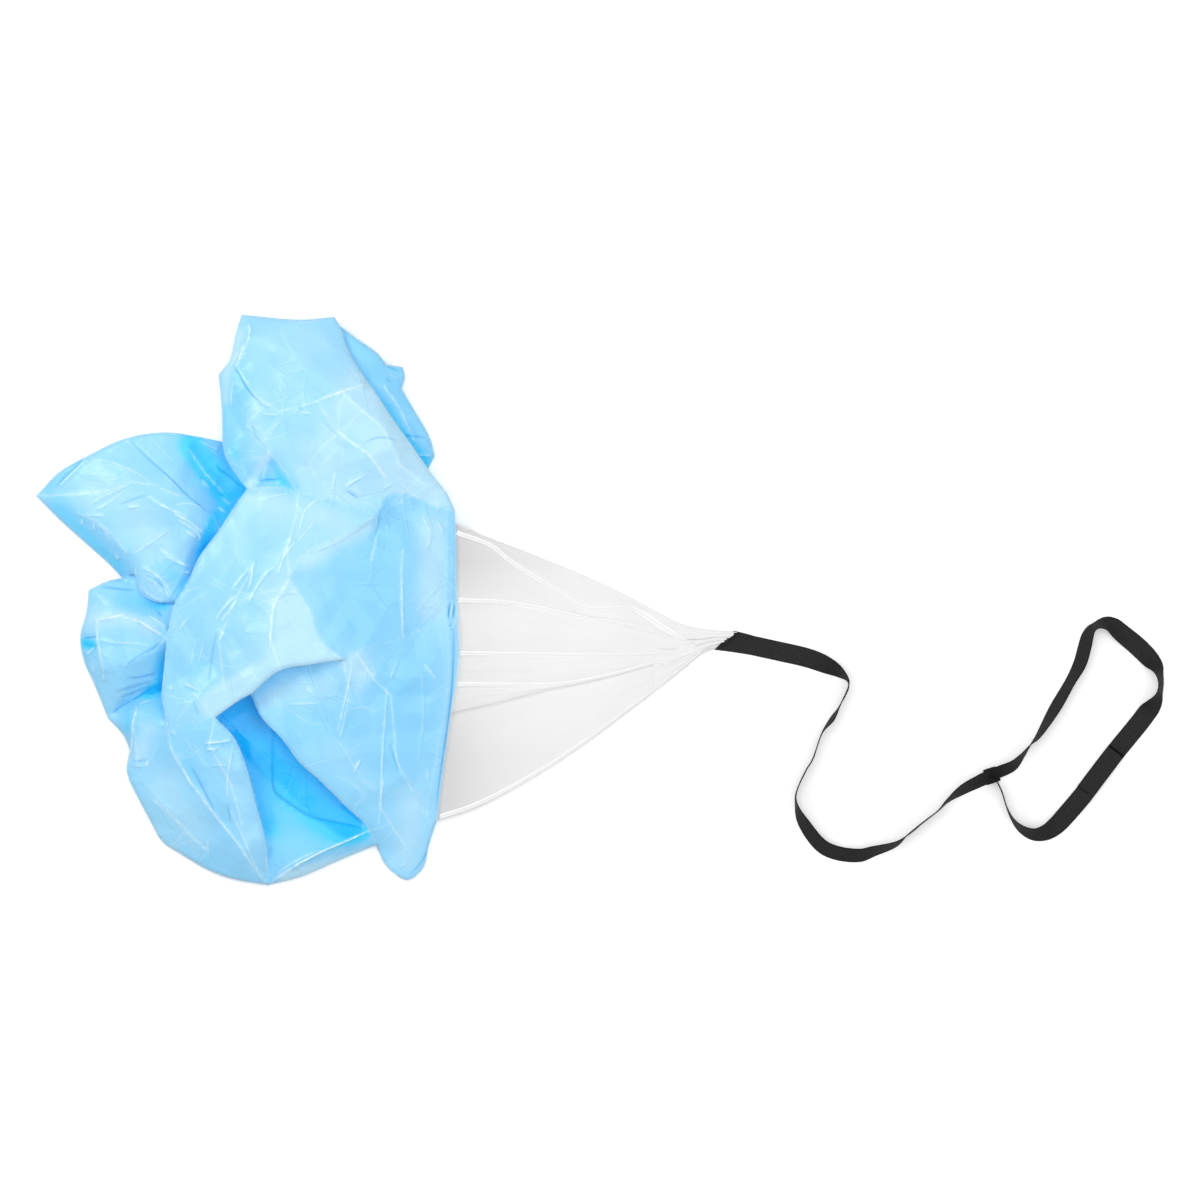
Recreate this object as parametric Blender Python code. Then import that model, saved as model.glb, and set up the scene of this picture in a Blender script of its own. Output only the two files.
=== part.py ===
# Speed parachute lying collapsed on a floor.
# A thin blue canopy has dropped into folds, its white net skirt is drawn together
# at an apex, and a webbing leader runs from there to a waist belt that closes
# with a hook and loop overlap.
# Metres, +Z up, +X from the canopy towards the belt, floor at z = 0.

import math

import bmesh
import bpy
from mathutils import Vector
from mathutils.geometry import delaunay_2d_cdt

# Driving dimensions
CANOPY_LAY_LENGTH = 0.655
CANOPY_LAY_WIDTH = 0.885
CANOPY_HEAP_HEIGHT = 0.095
CLOTH_THICKNESS = 0.0010
SEAM_ALLOWANCE = 0.006
NET_LAY_LENGTH = 0.431
NET_THICKNESS = 0.0008
NET_REST_HEIGHT = 0.0025
NET_TAPE_WIDTH = 0.0085
NET_TAPE_END_WIDTH = 0.0045
NET_TAPE_THICKNESS = 0.0013
NET_TAPE_SAG = 0.024
GATHER_LENGTH = 0.127
GATHER_MOUTH_WIDTH = 0.127
GATHER_HEIGHT = 0.0085
LEADER_LAY_LENGTH = 0.3906
LEADER_LAY_WIDTH = 0.355
BELT_LAY_LENGTH = 0.2715
BELT_LAY_WIDTH = 0.347
WEBBING_WIDTH = 0.030
WEBBING_THICKNESS = 0.0018
PATCH_WIDTH = 0.027
PATCH_LENGTH = 0.060
PATCH_THICKNESS = 0.0012
PATCH_END_MARGIN = 0.005

# Clearance between pieces that touch
GAP = 0.0003

# Where the pieces lie along the floor
PART_LENGTH = CANOPY_LAY_LENGTH + NET_LAY_LENGTH + LEADER_LAY_LENGTH + BELT_LAY_LENGTH
CANOPY_LEFT_X = -PART_LENGTH / 2
RIM_X = CANOPY_LEFT_X + CANOPY_LAY_LENGTH
APEX_X = RIM_X + NET_LAY_LENGTH
BELT_START_X = APEX_X + LEADER_LAY_LENGTH
CANOPY_FRONT_Y = -CANOPY_LAY_WIDTH / 2
APEX_Y_SHARE = 0.43
APEX_Y = CANOPY_FRONT_Y + APEX_Y_SHARE * CANOPY_LAY_WIDTH
BELT_TOP_Y_SHARE = 0.472
BELT_TOP_Y = CANOPY_FRONT_Y + BELT_TOP_Y_SHARE * CANOPY_LAY_WIDTH
BELT_FRONT_Y = BELT_TOP_Y - BELT_LAY_WIDTH
CLOTH_FLOOR_Z = CLOTH_THICKNESS + GAP
NET_FLOOR_Z = NET_THICKNESS + GAP

# Points on the outer edge of the canopy, as shares of its lay length and width
EDGE_SHARES = {
    "crown_left": (0.485, 1.0), "crown_mid": (0.63, 0.99), "crown_right": (0.705, 0.995),
    "crown_notch": (0.72, 0.98), "back_edge_1": (0.765, 0.955), "back_edge_2": (0.805, 0.935),
    "back_edge_3": (0.83, 0.91), "back_edge_4": (0.87, 0.91), "back_edge_5": (0.875, 0.89),
    "back_edge_6": (0.865, 0.87), "back_edge_7": (0.89, 0.835), "back_edge_8": (0.93, 0.785),
    "back_edge_9": (0.945, 0.755), "back_edge_10": (0.925, 0.73), "shoulder": (0.97, 0.69),
    "rim_top": (0.99, 0.655), "rim_1": (0.995, 0.62), "rim_2": (0.995, 0.5),
    "rim_seam": (0.997, 0.46), "rim_3": (1.0, 0.41), "rim_4": (0.995, 0.355),
    "rim_5": (0.98, 0.305), "rim_6": (0.965, 0.205), "rim_7": (0.95, 0.115),
    "tongue_edge_1": (0.93, 0.07), "tongue_edge_2": (0.915, 0.03), "tongue_edge_3": (0.88, 0.01),
    "tongue_edge_4": (0.85, 0.02), "tongue_edge_5": (0.82, 0.045), "tongue_edge_6": (0.81, 0.07),
    "notch": (0.795, 0.075), "front_edge_2": (0.72, 0.045), "front_edge_3": (0.625, 0.015),
    "bottom": (0.55, 0.0), "low_edge_1": (0.46, 0.015), "low_edge_2": (0.405, 0.03),
    "low_edge_3": (0.34, 0.055), "low_edge_4": (0.3, 0.075), "low_edge_5": (0.27, 0.115),
    "low_edge_6": (0.22, 0.18), "side_edge_1": (0.215, 0.205), "side_edge_2": (0.22, 0.24),
    "side_edge_3": (0.21, 0.26), "side_edge_4": (0.17, 0.295), "puff_edge_1": (0.135, 0.355),
    "puff_edge_2": (0.115, 0.395), "puff_edge_3": (0.105, 0.435), "puff_edge_4": (0.12, 0.48),
    "puff_edge_5": (0.125, 0.52), "puff_edge_6": (0.17, 0.535), "left_notch": (0.205, 0.54),
    "left_edge_1": (0.17, 0.565), "left_edge_2": (0.125, 0.595), "left_edge_3": (0.055, 0.64),
    "left_tip": (0.0, 0.685), "left_edge_4": (0.055, 0.725), "left_edge_5": (0.125, 0.755),
    "left_edge_6": (0.21, 0.78), "left_edge_7": (0.305, 0.795), "left_edge_8": (0.39, 0.785),
    "left_edge_9": (0.44, 0.775), "crown_edge_1": (0.44, 0.84), "crown_edge_2": (0.43, 0.895),
    "crown_edge_3": (0.46, 0.92), "crown_edge_4": (0.475, 0.965),
}

# Points where one lobe of cloth meets the next, in the same shares
FOLD_SHARES = {
    "back_1": (0.735, 0.94), "back_2": (0.765, 0.9), "back_3": (0.8, 0.865),
    "back_4": (0.835, 0.825), "back_5": (0.885, 0.775),
    "pocket_1": (0.45, 0.75), "pocket_2": (0.485, 0.705), "centre": (0.5, 0.695),
    "mid_1": (0.56, 0.7), "mid_2": (0.62, 0.69), "mid_3": (0.685, 0.68),
    "mid_4": (0.745, 0.665), "mid_5": (0.805, 0.645), "mid_6": (0.83, 0.685),
    "mid_7": (0.87, 0.69), "mid_8": (0.92, 0.675),
    "left_1": (0.475, 0.67), "left_2": (0.435, 0.625), "left_3": (0.39, 0.575),
    "left_4": (0.355, 0.525), "left_5": (0.33, 0.495),
    "bump_1": (0.285, 0.5), "bump_2": (0.255, 0.51), "bump_3": (0.23, 0.545),
    "side_1": (0.32, 0.465), "side_2": (0.31, 0.43), "side_3": (0.305, 0.385),
    "side_4": (0.3, 0.335), "side_5": (0.305, 0.295), "side_6": (0.31, 0.28),
    "valley": (0.23, 0.325), "low_1": (0.285, 0.24), "low_2": (0.255, 0.205),
    "join": (0.37, 0.285), "mouth_1": (0.425, 0.295), "mouth_2": (0.47, 0.26),
    "mouth_3": (0.5, 0.21), "mouth_4": (0.525, 0.135), "mouth_5": (0.545, 0.075),
    "lip_1": (0.48, 0.325), "lip_2": (0.51, 0.335), "lip_3": (0.58, 0.38),
    "lip_4": (0.655, 0.39), "lip_5": (0.73, 0.395),
    "ridge_1": (0.675, 0.425), "ridge_2": (0.65, 0.485), "ridge_3": (0.6, 0.54),
    "ridge_4": (0.645, 0.585), "ridge_5": (0.72, 0.61),
    "flap_1": (0.535, 0.295), "flap_2": (0.58, 0.26), "flap_3": (0.625, 0.215),
    "flap_4": (0.67, 0.185), "flap_5": (0.73, 0.14), "flap_6": (0.785, 0.1),
    "seam_1": (0.755, 0.41), "seam_2": (0.87, 0.435), "seam_3": (0.92, 0.45),
    "hem_top": (0.975, 0.66), "hem_1": (0.975, 0.62), "hem_2": (0.973, 0.5),
    "hem_seam": (0.972, 0.46), "hem_3": (0.98, 0.41), "hem_4": (0.975, 0.355),
    "hem_5": (0.96, 0.3), "hem_6": (0.945, 0.2), "hem_7": (0.935, 0.115),
}

# Each lobe: its outline by point name with the cloth's height there, then the
# points inside it, then the fold lines that join them. Heights are shares of
# the heap, places inside are shares of the lay length and width.
CROWN_OUTLINE_SHARES = [
    ("crown_left", 0.40), ("crown_mid", 0.50), ("crown_right", 0.38),
    ("crown_notch", 0.40), ("back_1", 0.48), ("back_2", 0.56), ("back_3", 0.64),
    ("back_4", 0.68), ("back_5", 0.62), ("back_edge_10", 0.48), ("shoulder", 0.42),
    ("rim_top", 0.34), ("hem_top", 0.38), ("mid_8", 0.52), ("mid_7", 0.62),
    ("mid_6", 0.68), ("mid_5", 0.72), ("mid_4", 0.74), ("mid_3", 0.76),
    ("mid_2", 0.74), ("mid_1", 0.62), ("centre", 0.58), ("pocket_2", 0.54),
    ("pocket_1", 0.50), ("left_edge_9", 0.42), ("crown_edge_1", 0.38), ("crown_edge_2", 0.32),
    ("crown_edge_3", 0.38), ("crown_edge_4", 0.40),
]
CROWN_INNER_SHARES = {
    "roll_1": (0.505, 0.955, 0.58), "roll_2": (0.48, 0.905, 0.52),
    "roll_3": (0.525, 0.85, 0.66), "roll_4": (0.575, 0.83, 0.74),
    "crest_1": (0.665, 0.845, 0.84), "crest_2": (0.725, 0.865, 0.86),
    "crest_3": (0.78, 0.875, 0.74), "field": (0.625, 0.92, 0.72),
    "flank": (0.48, 0.8, 0.56), "pocket_top": (0.555, 0.76, 0.76),
    "pocket_side": (0.59, 0.73, 0.7), "pocket_foot": (0.535, 0.71, 0.5),
    "crease_1": (0.735, 0.785, 0.78), "crease_2": (0.79, 0.755, 0.82),
    "crease_3": (0.83, 0.715, 0.72), "high": (0.825, 0.8, 0.9),
    "fall_1": (0.86, 0.735, 0.76), "fall_2": (0.92, 0.7, 0.56),
    "middle": (0.67, 0.765, 0.86),
}
CROWN_FOLDS = [
    ("roll_1", "roll_2", "roll_3", "roll_4", "crest_1", "crest_2", "crest_3"),
    ("crest_1", "crease_1", "crease_2", "crease_3"),
    ("pocket_top", "pocket_side", "mid_2"),
    ("pocket_top", "pocket_foot", "centre"),
    ("crest_2", "high", "fall_1", "fall_2"),
]
BACK_OUTLINE_SHARES = [
    ("crown_notch", 0.28), ("back_edge_1", 0.30), ("back_edge_2", 0.28), ("back_edge_3", 0.22),
    ("back_edge_4", 0.18), ("back_edge_5", 0.18), ("back_edge_6", 0.24), ("back_edge_7", 0.24),
    ("back_edge_8", 0.20), ("back_edge_9", 0.16), ("back_edge_10", 0.12), ("back_5", 0.24),
    ("back_4", 0.34), ("back_3", 0.38), ("back_2", 0.38), ("back_1", 0.34),
]
BACK_INNER_SHARES = {
    "swell_1": (0.825, 0.875, 0.38), "swell_2": (0.86, 0.835, 0.32),
    "swell_3": (0.895, 0.78, 0.28),
}
BACK_FOLDS = [("swell_1", "swell_2", "swell_3")]
LEFT_OUTLINE_SHARES = [
    ("left_tip", 0.10), ("left_edge_4", 0.24), ("left_edge_5", 0.34), ("left_edge_6", 0.42),
    ("left_edge_7", 0.46), ("left_edge_8", 0.34), ("left_edge_9", 0.18), ("pocket_1", 0.12),
    ("pocket_2", 0.10), ("centre", 0.12), ("left_1", 0.16), ("left_2", 0.28),
    ("left_3", 0.24), ("left_4", 0.36), ("left_5", 0.42), ("bump_1", 0.40),
    ("bump_2", 0.38), ("bump_3", 0.34), ("left_notch", 0.12), ("left_edge_1", 0.12),
    ("left_edge_2", 0.12), ("left_edge_3", 0.12),
]
LEFT_INNER_SHARES = {
    "under_1": (0.095, 0.655, 0.36), "under_2": (0.145, 0.64, 0.44),
    "under_3": (0.175, 0.62, 0.48), "under_4": (0.215, 0.585, 0.48),
    "spine_1": (0.115, 0.685, 0.42), "spine_2": (0.175, 0.693, 0.52),
    "spine_3": (0.23, 0.705, 0.58), "spine_4": (0.29, 0.7, 0.58),
    "upper_1": (0.165, 0.745, 0.46), "upper_2": (0.245, 0.723, 0.56),
    "crease_1": (0.27, 0.745, 0.5), "crease_2": (0.325, 0.707, 0.54),
    "crease_3": (0.375, 0.672, 0.52), "fall_1": (0.365, 0.763, 0.42),
    "fall_2": (0.4, 0.723, 0.22), "fall_3": (0.44, 0.69, 0.12),
    "ruck_1": (0.27, 0.675, 0.62), "ruck_2": (0.325, 0.655, 0.62),
    "ruck_3": (0.37, 0.635, 0.56), "ruck_4": (0.395, 0.62, 0.44),
    "lower_1": (0.293, 0.59, 0.54), "lower_2": (0.35, 0.562, 0.46),
    "bump_top_1": (0.27, 0.545, 0.56), "bump_top_2": (0.293, 0.52, 0.5),
}
LEFT_FOLDS = [
    ("left_tip", "spine_1", "spine_2", "spine_3", "spine_4"),
    ("left_edge_6", "crease_1", "crease_2", "crease_3"),
    ("under_1", "under_2", "under_3", "under_4"),
    ("ruck_1", "ruck_2", "ruck_3", "ruck_4"),
    ("lower_1", "lower_2"),
    ("fall_1", "fall_2", "fall_3"),
]
PUFF_OUTLINE_SHARES = [
    ("left_notch", 0.10), ("bump_3", 0.18), ("bump_2", 0.22), ("bump_1", 0.24),
    ("left_5", 0.30), ("side_1", 0.36), ("side_2", 0.42), ("side_3", 0.24),
    ("side_4", 0.10), ("valley", 0.12), ("side_edge_4", 0.08), ("puff_edge_1", 0.16),
    ("puff_edge_2", 0.14), ("puff_edge_3", 0.14), ("puff_edge_4", 0.18), ("puff_edge_5", 0.16),
    ("puff_edge_6", 0.14),
]
PUFF_INNER_SHARES = {
    "brow_1": (0.145, 0.465, 0.4), "brow_2": (0.205, 0.472, 0.5),
    "brow_3": (0.245, 0.463, 0.54), "brow_4": (0.275, 0.45, 0.54),
    "behind_1": (0.18, 0.5, 0.36), "behind_2": (0.245, 0.493, 0.3),
    "cheek_1": (0.145, 0.43, 0.4), "cheek_2": (0.2, 0.425, 0.52),
    "cheek_3": (0.16, 0.38, 0.4), "chin_1": (0.21, 0.387, 0.5),
    "chin_2": (0.27, 0.41, 0.46), "chin_3": (0.2, 0.343, 0.38),
    "chin_4": (0.257, 0.367, 0.32),
}
PUFF_FOLDS = [
    ("brow_1", "brow_2", "brow_3", "brow_4", "side_2"),
    ("brow_1", "cheek_1", "cheek_3"),
    ("chin_1", "chin_2", "side_2"),
]
SIDE_OUTLINE_SHARES = [
    ("side_edge_4", 0.08), ("valley", 0.12), ("side_4", 0.16), ("side_5", 0.36),
    ("side_6", 0.44), ("low_1", 0.34), ("low_2", 0.24), ("low_edge_6", 0.12),
    ("side_edge_1", 0.14), ("side_edge_2", 0.14), ("side_edge_3", 0.12),
]
SIDE_INNER_SHARES = {
    "edge_1": (0.24, 0.31, 0.34), "edge_2": (0.235, 0.278, 0.32),
    "edge_3": (0.242, 0.217, 0.24), "face_1": (0.275, 0.3, 0.36),
    "face_2": (0.26, 0.252, 0.32),
}
SIDE_FOLDS = [("edge_1", "edge_2", "edge_3")]
LOWER_OUTLINE_SHARES = [
    ("low_edge_6", 0.12), ("low_2", 0.28), ("low_1", 0.40), ("side_6", 0.48),
    ("join", 0.62), ("mouth_1", 0.68), ("mouth_2", 0.66), ("mouth_3", 0.60),
    ("mouth_4", 0.50), ("mouth_5", 0.34), ("bottom", 0.10), ("low_edge_1", 0.12),
    ("low_edge_2", 0.13), ("low_edge_3", 0.13), ("low_edge_4", 0.12), ("low_edge_5", 0.12),
]
LOWER_INNER_SHARES = {
    "spine_1": (0.325, 0.233, 0.56), "spine_2": (0.37, 0.176, 0.54),
    "spine_3": (0.43, 0.12, 0.48), "spine_4": (0.49, 0.063, 0.38),
    "spine_5": (0.525, 0.024, 0.22), "flank_1": (0.28, 0.15, 0.3),
    "flank_2": (0.34, 0.11, 0.32), "flank_3": (0.405, 0.063, 0.26),
    "inner_1": (0.41, 0.247, 0.7), "inner_2": (0.463, 0.176, 0.6),
    "inner_3": (0.49, 0.106, 0.48), "shoulder": (0.305, 0.194, 0.4),
}
LOWER_FOLDS = [
    ("side_6", "spine_1", "spine_2", "spine_3", "spine_4", "spine_5", "bottom"),
    ("mouth_1", "inner_1", "inner_2", "inner_3"),
    ("flank_1", "flank_2", "flank_3"),
]
FRONT_OUTLINE_SHARES = [
    ("centre", 0.62), ("mid_1", 0.66), ("mid_2", 0.72), ("mid_3", 0.76),
    ("mid_4", 0.76), ("mid_5", 0.78), ("ridge_5", 0.86), ("ridge_4", 0.90),
    ("ridge_3", 0.94), ("ridge_2", 0.92), ("ridge_1", 0.90), ("lip_5", 0.86),
    ("lip_4", 0.92), ("lip_3", 0.94), ("lip_2", 0.86), ("lip_1", 0.80),
    ("mouth_1", 0.70), ("join", 0.62), ("side_6", 0.50), ("side_5", 0.50),
    ("side_4", 0.48), ("side_3", 0.50), ("side_2", 0.50), ("side_1", 0.52),
    ("left_5", 0.54), ("left_4", 0.54), ("left_3", 0.56), ("left_2", 0.58),
    ("left_1", 0.60),
]
FRONT_INNER_SHARES = {
    "facet_1": (0.565, 0.486, 0.92), "facet_2": (0.556, 0.434, 0.94),
    "rise_1": (0.617, 0.649, 0.8), "rise_2": (0.596, 0.593, 0.88),
    "ripple_1": (0.51, 0.553, 0.8), "ripple_2": (0.473, 0.5, 0.76),
    "ripple_3": (0.435, 0.43, 0.7), "ripple_4": (0.447, 0.343, 0.74),
    "slope_1": (0.388, 0.5, 0.62), "slope_2": (0.376, 0.413, 0.62),
    "slope_3": (0.37, 0.343, 0.62), "hollow": (0.51, 0.474, 0.8),
    "brow": (0.494, 0.395, 0.84), "top_1": (0.482, 0.623, 0.68),
    "top_2": (0.54, 0.64, 0.74),
}
FRONT_FOLDS = [
    ("ridge_3", "facet_1", "facet_2", "lip_3"),
    ("mid_2", "rise_1", "rise_2", "ridge_3"),
    ("ripple_1", "ripple_2", "ripple_3", "ripple_4"),
]
RIM_PANEL_OUTLINE_SHARES = [
    ("mid_5", 0.74), ("mid_6", 0.66), ("mid_7", 0.60), ("mid_8", 0.50),
    ("hem_top", 0.36), ("hem_1", 0.36), ("hem_2", 0.38), ("hem_seam", 0.40),
    ("seam_3", 0.46), ("seam_2", 0.58), ("seam_1", 0.74), ("lip_5", 0.84),
    ("ridge_1", 0.88), ("ridge_2", 0.90), ("ridge_3", 0.92), ("ridge_4", 0.88),
    ("ridge_5", 0.84),
]
RIM_PANEL_INNER_SHARES = {
    "slope_1": (0.72, 0.544, 0.82), "slope_2": (0.795, 0.57, 0.72),
    "hollow": (0.81, 0.623, 0.62), "seam_fold_1": (0.868, 0.588, 0.62),
    "seam_fold_2": (0.866, 0.506, 0.6), "fall_1": (0.93, 0.614, 0.48),
    "fall_2": (0.927, 0.535, 0.48), "slope_3": (0.766, 0.479, 0.76),
    "dip": (0.86, 0.64, 0.54),
}
RIM_PANEL_FOLDS = [
    ("seam_fold_1", "seam_fold_2", "seam_2"),
    ("mid_5", "hollow", "slope_2"),
]
MOUTH_OUTLINE_SHARES = [
    ("lip_5", 0.76), ("seam_1", 0.74), ("seam_2", 0.56), ("seam_3", 0.44),
    ("hem_seam", 0.38), ("hem_3", 0.36), ("hem_4", 0.34), ("hem_5", 0.32),
    ("hem_6", 0.26), ("hem_7", 0.20), ("rim_7", 0.18), ("tongue_edge_1", 0.14),
    ("tongue_edge_2", 0.10), ("tongue_edge_3", 0.08), ("tongue_edge_4", 0.08),
    ("tongue_edge_5", 0.09), ("tongue_edge_6", 0.10), ("notch", 0.12), ("flap_6", 0.26),
    ("flap_5", 0.42), ("flap_4", 0.50), ("flap_3", 0.55), ("flap_2", 0.58),
    ("flap_1", 0.56), ("lip_2", 0.50), ("lip_3", 0.60), ("lip_4", 0.68),
]
MOUTH_INNER_SHARES = {
    "star_1": (0.8, 0.36, 0.62), "star_2": (0.743, 0.339, 0.7),
    "star_3": (0.72, 0.264, 0.62), "cheek_1": (0.625, 0.325, 0.6),
    "cheek_2": (0.653, 0.269, 0.6), "pleat_1": (0.84, 0.334, 0.54),
    "pleat_2": (0.855, 0.22, 0.46), "pleat_3": (0.89, 0.168, 0.32),
    "face": (0.766, 0.225, 0.54), "roll_1": (0.82, 0.185, 0.44),
    "roll_2": (0.815, 0.138, 0.34), "roll_3": (0.873, 0.072, 0.18),
    "rim_fold_1": (0.949, 0.36, 0.4), "rim_fold_2": (0.918, 0.39, 0.48),
    "rim_fold_3": (0.913, 0.29, 0.42),
}
MOUTH_FOLDS = [
    ("seam_1", "star_1", "pleat_1", "pleat_2", "pleat_3"),
    ("lip_5", "star_2", "star_3"),
    ("roll_1", "roll_2", "roll_3"),
]
INSIDE_OUTLINE_SHARES = [
    ("mouth_1", 0.16), ("lip_1", 0.18), ("lip_2", 0.20), ("flap_1", 0.10),
    ("flap_2", 0.07), ("flap_3", 0.06), ("flap_4", 0.06), ("flap_5", 0.08),
    ("flap_6", 0.22), ("notch", 0.12), ("front_edge_2", 0.10), ("front_edge_3", 0.10),
    ("bottom", 0.09), ("mouth_5", 0.18), ("mouth_4", 0.10), ("mouth_3", 0.07),
    ("mouth_2", 0.08),
]
INSIDE_INNER_SHARES = {
    "floor_1": (0.558, 0.238, 0.06), "floor_2": (0.558, 0.168, 0.06),
    "floor_3": (0.653, 0.119, 0.1), "floor_4": (0.695, 0.15, 0.07),
    "hem_fold_1": (0.617, 0.036, 0.24), "hem_fold_2": (0.679, 0.061, 0.26),
    "hem_fold_3": (0.735, 0.078, 0.26), "rise": (0.624, 0.08, 0.16),
}
INSIDE_FOLDS = [("bottom", "hem_fold_1", "hem_fold_2", "hem_fold_3", "flap_6")]
UPPER_HEM_OUTLINE_SHARES = [
    ("hem_top", 0.38), ("rim_top", 0.34), ("rim_1", 0.30), ("rim_2", 0.32),
    ("rim_seam", 0.32), ("hem_seam", 0.40), ("hem_2", 0.38), ("hem_1", 0.36),
]
LOWER_HEM_OUTLINE_SHARES = [
    ("hem_seam", 0.40), ("rim_seam", 0.33), ("rim_3", 0.32), ("rim_4", 0.30),
    ("rim_5", 0.28), ("rim_6", 0.22), ("rim_7", 0.16), ("hem_7", 0.20),
    ("hem_6", 0.26), ("hem_5", 0.32), ("hem_4", 0.34), ("hem_3", 0.36),
]
LOBES = [
    ("canopy_crown_panel", CROWN_OUTLINE_SHARES, CROWN_INNER_SHARES, CROWN_FOLDS),
    ("canopy_back_panel", BACK_OUTLINE_SHARES, BACK_INNER_SHARES, BACK_FOLDS),
    ("canopy_left_panel", LEFT_OUTLINE_SHARES, LEFT_INNER_SHARES, LEFT_FOLDS),
    ("canopy_puff_panel", PUFF_OUTLINE_SHARES, PUFF_INNER_SHARES, PUFF_FOLDS),
    ("canopy_side_panel", SIDE_OUTLINE_SHARES, SIDE_INNER_SHARES, SIDE_FOLDS),
    ("canopy_lower_panel", LOWER_OUTLINE_SHARES, LOWER_INNER_SHARES, LOWER_FOLDS),
    ("canopy_front_panel", FRONT_OUTLINE_SHARES, FRONT_INNER_SHARES, FRONT_FOLDS),
    ("canopy_rim_panel", RIM_PANEL_OUTLINE_SHARES, RIM_PANEL_INNER_SHARES,
     RIM_PANEL_FOLDS),
    ("canopy_mouth_panel", MOUTH_OUTLINE_SHARES, MOUTH_INNER_SHARES, MOUTH_FOLDS),
    ("canopy_inside_panel", INSIDE_OUTLINE_SHARES, INSIDE_INNER_SHARES,
     INSIDE_FOLDS),
    ("rim_hem_upper", UPPER_HEM_OUTLINE_SHARES, {}, []),
    ("rim_hem_lower", LOWER_HEM_OUTLINE_SHARES, {}, []),
]

# The canopy's layer on the floor follows the outer edge, drawn in a little
UNDER_LAYER_INSET = 0.004

# Seam tapes of the net: the rim point each is sewn to, its place across the
# gather's mouth as a share of the mouth from the apex line, and how far it
# sags off the straight line, as shares of its run and of the tape sag
NET_LINE_SHARES = {
    "edge": ("rim_1", 0.366, ((0.3, 0.1), (0.6, 0.12))),
    "tape_1": ("rim_1", 0.22, ((0.25, -0.16), (0.52, -0.84), (0.68, -1.0), (0.88, 0.1))),
    "tape_2": ("rim_2", 0.08, ((0.22, 0.35), (0.5, 0.35), (0.85, 0.24))),
    "tape_3": ("rim_3", -0.12, ((0.3, -0.05), (0.63, -0.13))),
    "tape_4": ("rim_4", -0.27, ((0.25, -0.4), (0.52, -0.78), (0.85, -0.42))),
    "tape_5": ("rim_7", -0.6, ((0.27, -0.84), (0.56, -1.0), (0.79, -0.45))),
}
RIM_POINTS = ("rim_top", "rim_1", "rim_2", "rim_seam", "rim_3", "rim_4", "rim_5",
              "rim_6", "rim_7", "tongue_edge_1")
NET_TAPES = ("tape_1", "tape_2", "tape_3", "tape_4", "tape_5")
NET_STATIONS = 14
NET_COLUMNS = 4
# The netting's lip above the first tape, measured along the rim
NET_EDGE_LIP = 0.013
# How far the net's floor layer is drawn in at its two long edges
NET_UNDER_INSET_SHARE = 0.02
# How quickly the net drops from the rim to the floor, and its soft folds
NET_DROP_POWER = 3.0
NET_FOLD_HEIGHT = 0.004
NET_FOLD_WAVES = 1.5

# Outline of the gathered netting as shares of its length and mouth width
GATHER_UPPER_SHARES = [(0.0, 0.366), (0.32, 0.21), (0.56, 0.146), (0.96, 0.11)]
GATHER_LOWER_SHARES = [(0.0, -0.66), (0.36, -0.354), (0.61, -0.146), (0.72, -0.11)]
# The slant of its end: half the end's reach along it and across it
GATHER_SLANT_SHARE = 0.12
GATHER_END_SHARE = 0.11
# Where the leader starts, and over what run it squares up, along the gather
LEADER_START_SHARE = 0.8438
LEADER_SLANT_RUN_SHARE = 0.36
GATHER_ROW_HEIGHT_SHARES = [0.42, 0.62, 0.85, 1.0]
GATHER_COLUMN_HEIGHT_SHARES = [0.55, 0.9, 1.0, 0.9, 0.55]

# The leader's route from the apex to the belt: places as shares of its lay
# length and width from the apex, with the strap's roll in degrees, 0 when it
# lies flat and 90 when it stands on its edge
LEADER_ROUTE_SHARES = [
    (0.02, -0.013, 0), (0.151, -0.044, 0), (0.27, -0.074, 6), (0.345, -0.103, 25),
    (0.409, -0.14, 60), (0.444, -0.192, 90), (0.409, -0.284, 90),
    (0.377, -0.345, 78), (0.337, -0.406, 90), (0.302, -0.515, 90),
    (0.272, -0.572, 90), (0.237, -0.659, 90), (0.236, -0.716, 84),
    (0.264, -0.795, 56), (0.325, -0.886, 46), (0.389, -0.926, 44),
    (0.48, -0.939, 47), (0.54, -0.921, 58), (0.627, -0.891, 74),
    (0.677, -0.85, 90), (0.738, -0.795, 90), (0.798, -0.744, 88),
    (0.837, -0.699, 80), (0.897, -0.651, 60), (0.968, -0.611, 51), (1.0, -0.594, 51),
]

# The belt's routes as shares of its lay length and width from its front left
# corner. The long strap runs up the left side, over the top and down the right
# side. The short strap runs along the front and climbs onto the long one.
LONG_STRAP_ROUTE_SHARES = [
    (0.003, 0.288, 52), (0.06, 0.306, 53), (0.132, 0.331, 58), (0.184, 0.372, 74),
    (0.241, 0.43, 90), (0.285, 0.47, 104), (0.378, 0.591, 123),
    (0.463, 0.707, 120), (0.518, 0.787, 130), (0.547, 0.866, 131),
    (0.562, 0.909, 127), (0.582, 0.94, 117), (0.607, 0.957, 110),
    (0.638, 0.965, 119), (0.675, 0.966, 136), (0.714, 0.954, 150),
    (0.762, 0.922, 163), (0.833, 0.876, 173), (0.885, 0.838, 172),
    (0.937, 0.792, 150), (0.97, 0.748, 116), (0.981, 0.7, 106),
    (0.971, 0.652, 110), (0.94, 0.608, 142), (0.903, 0.57, 172), (0.857, 0.522, 179),
    (0.79, 0.458, 180), (0.72, 0.391, 180), (0.64, 0.31, 180), (0.563, 0.23, 180),
]
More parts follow.
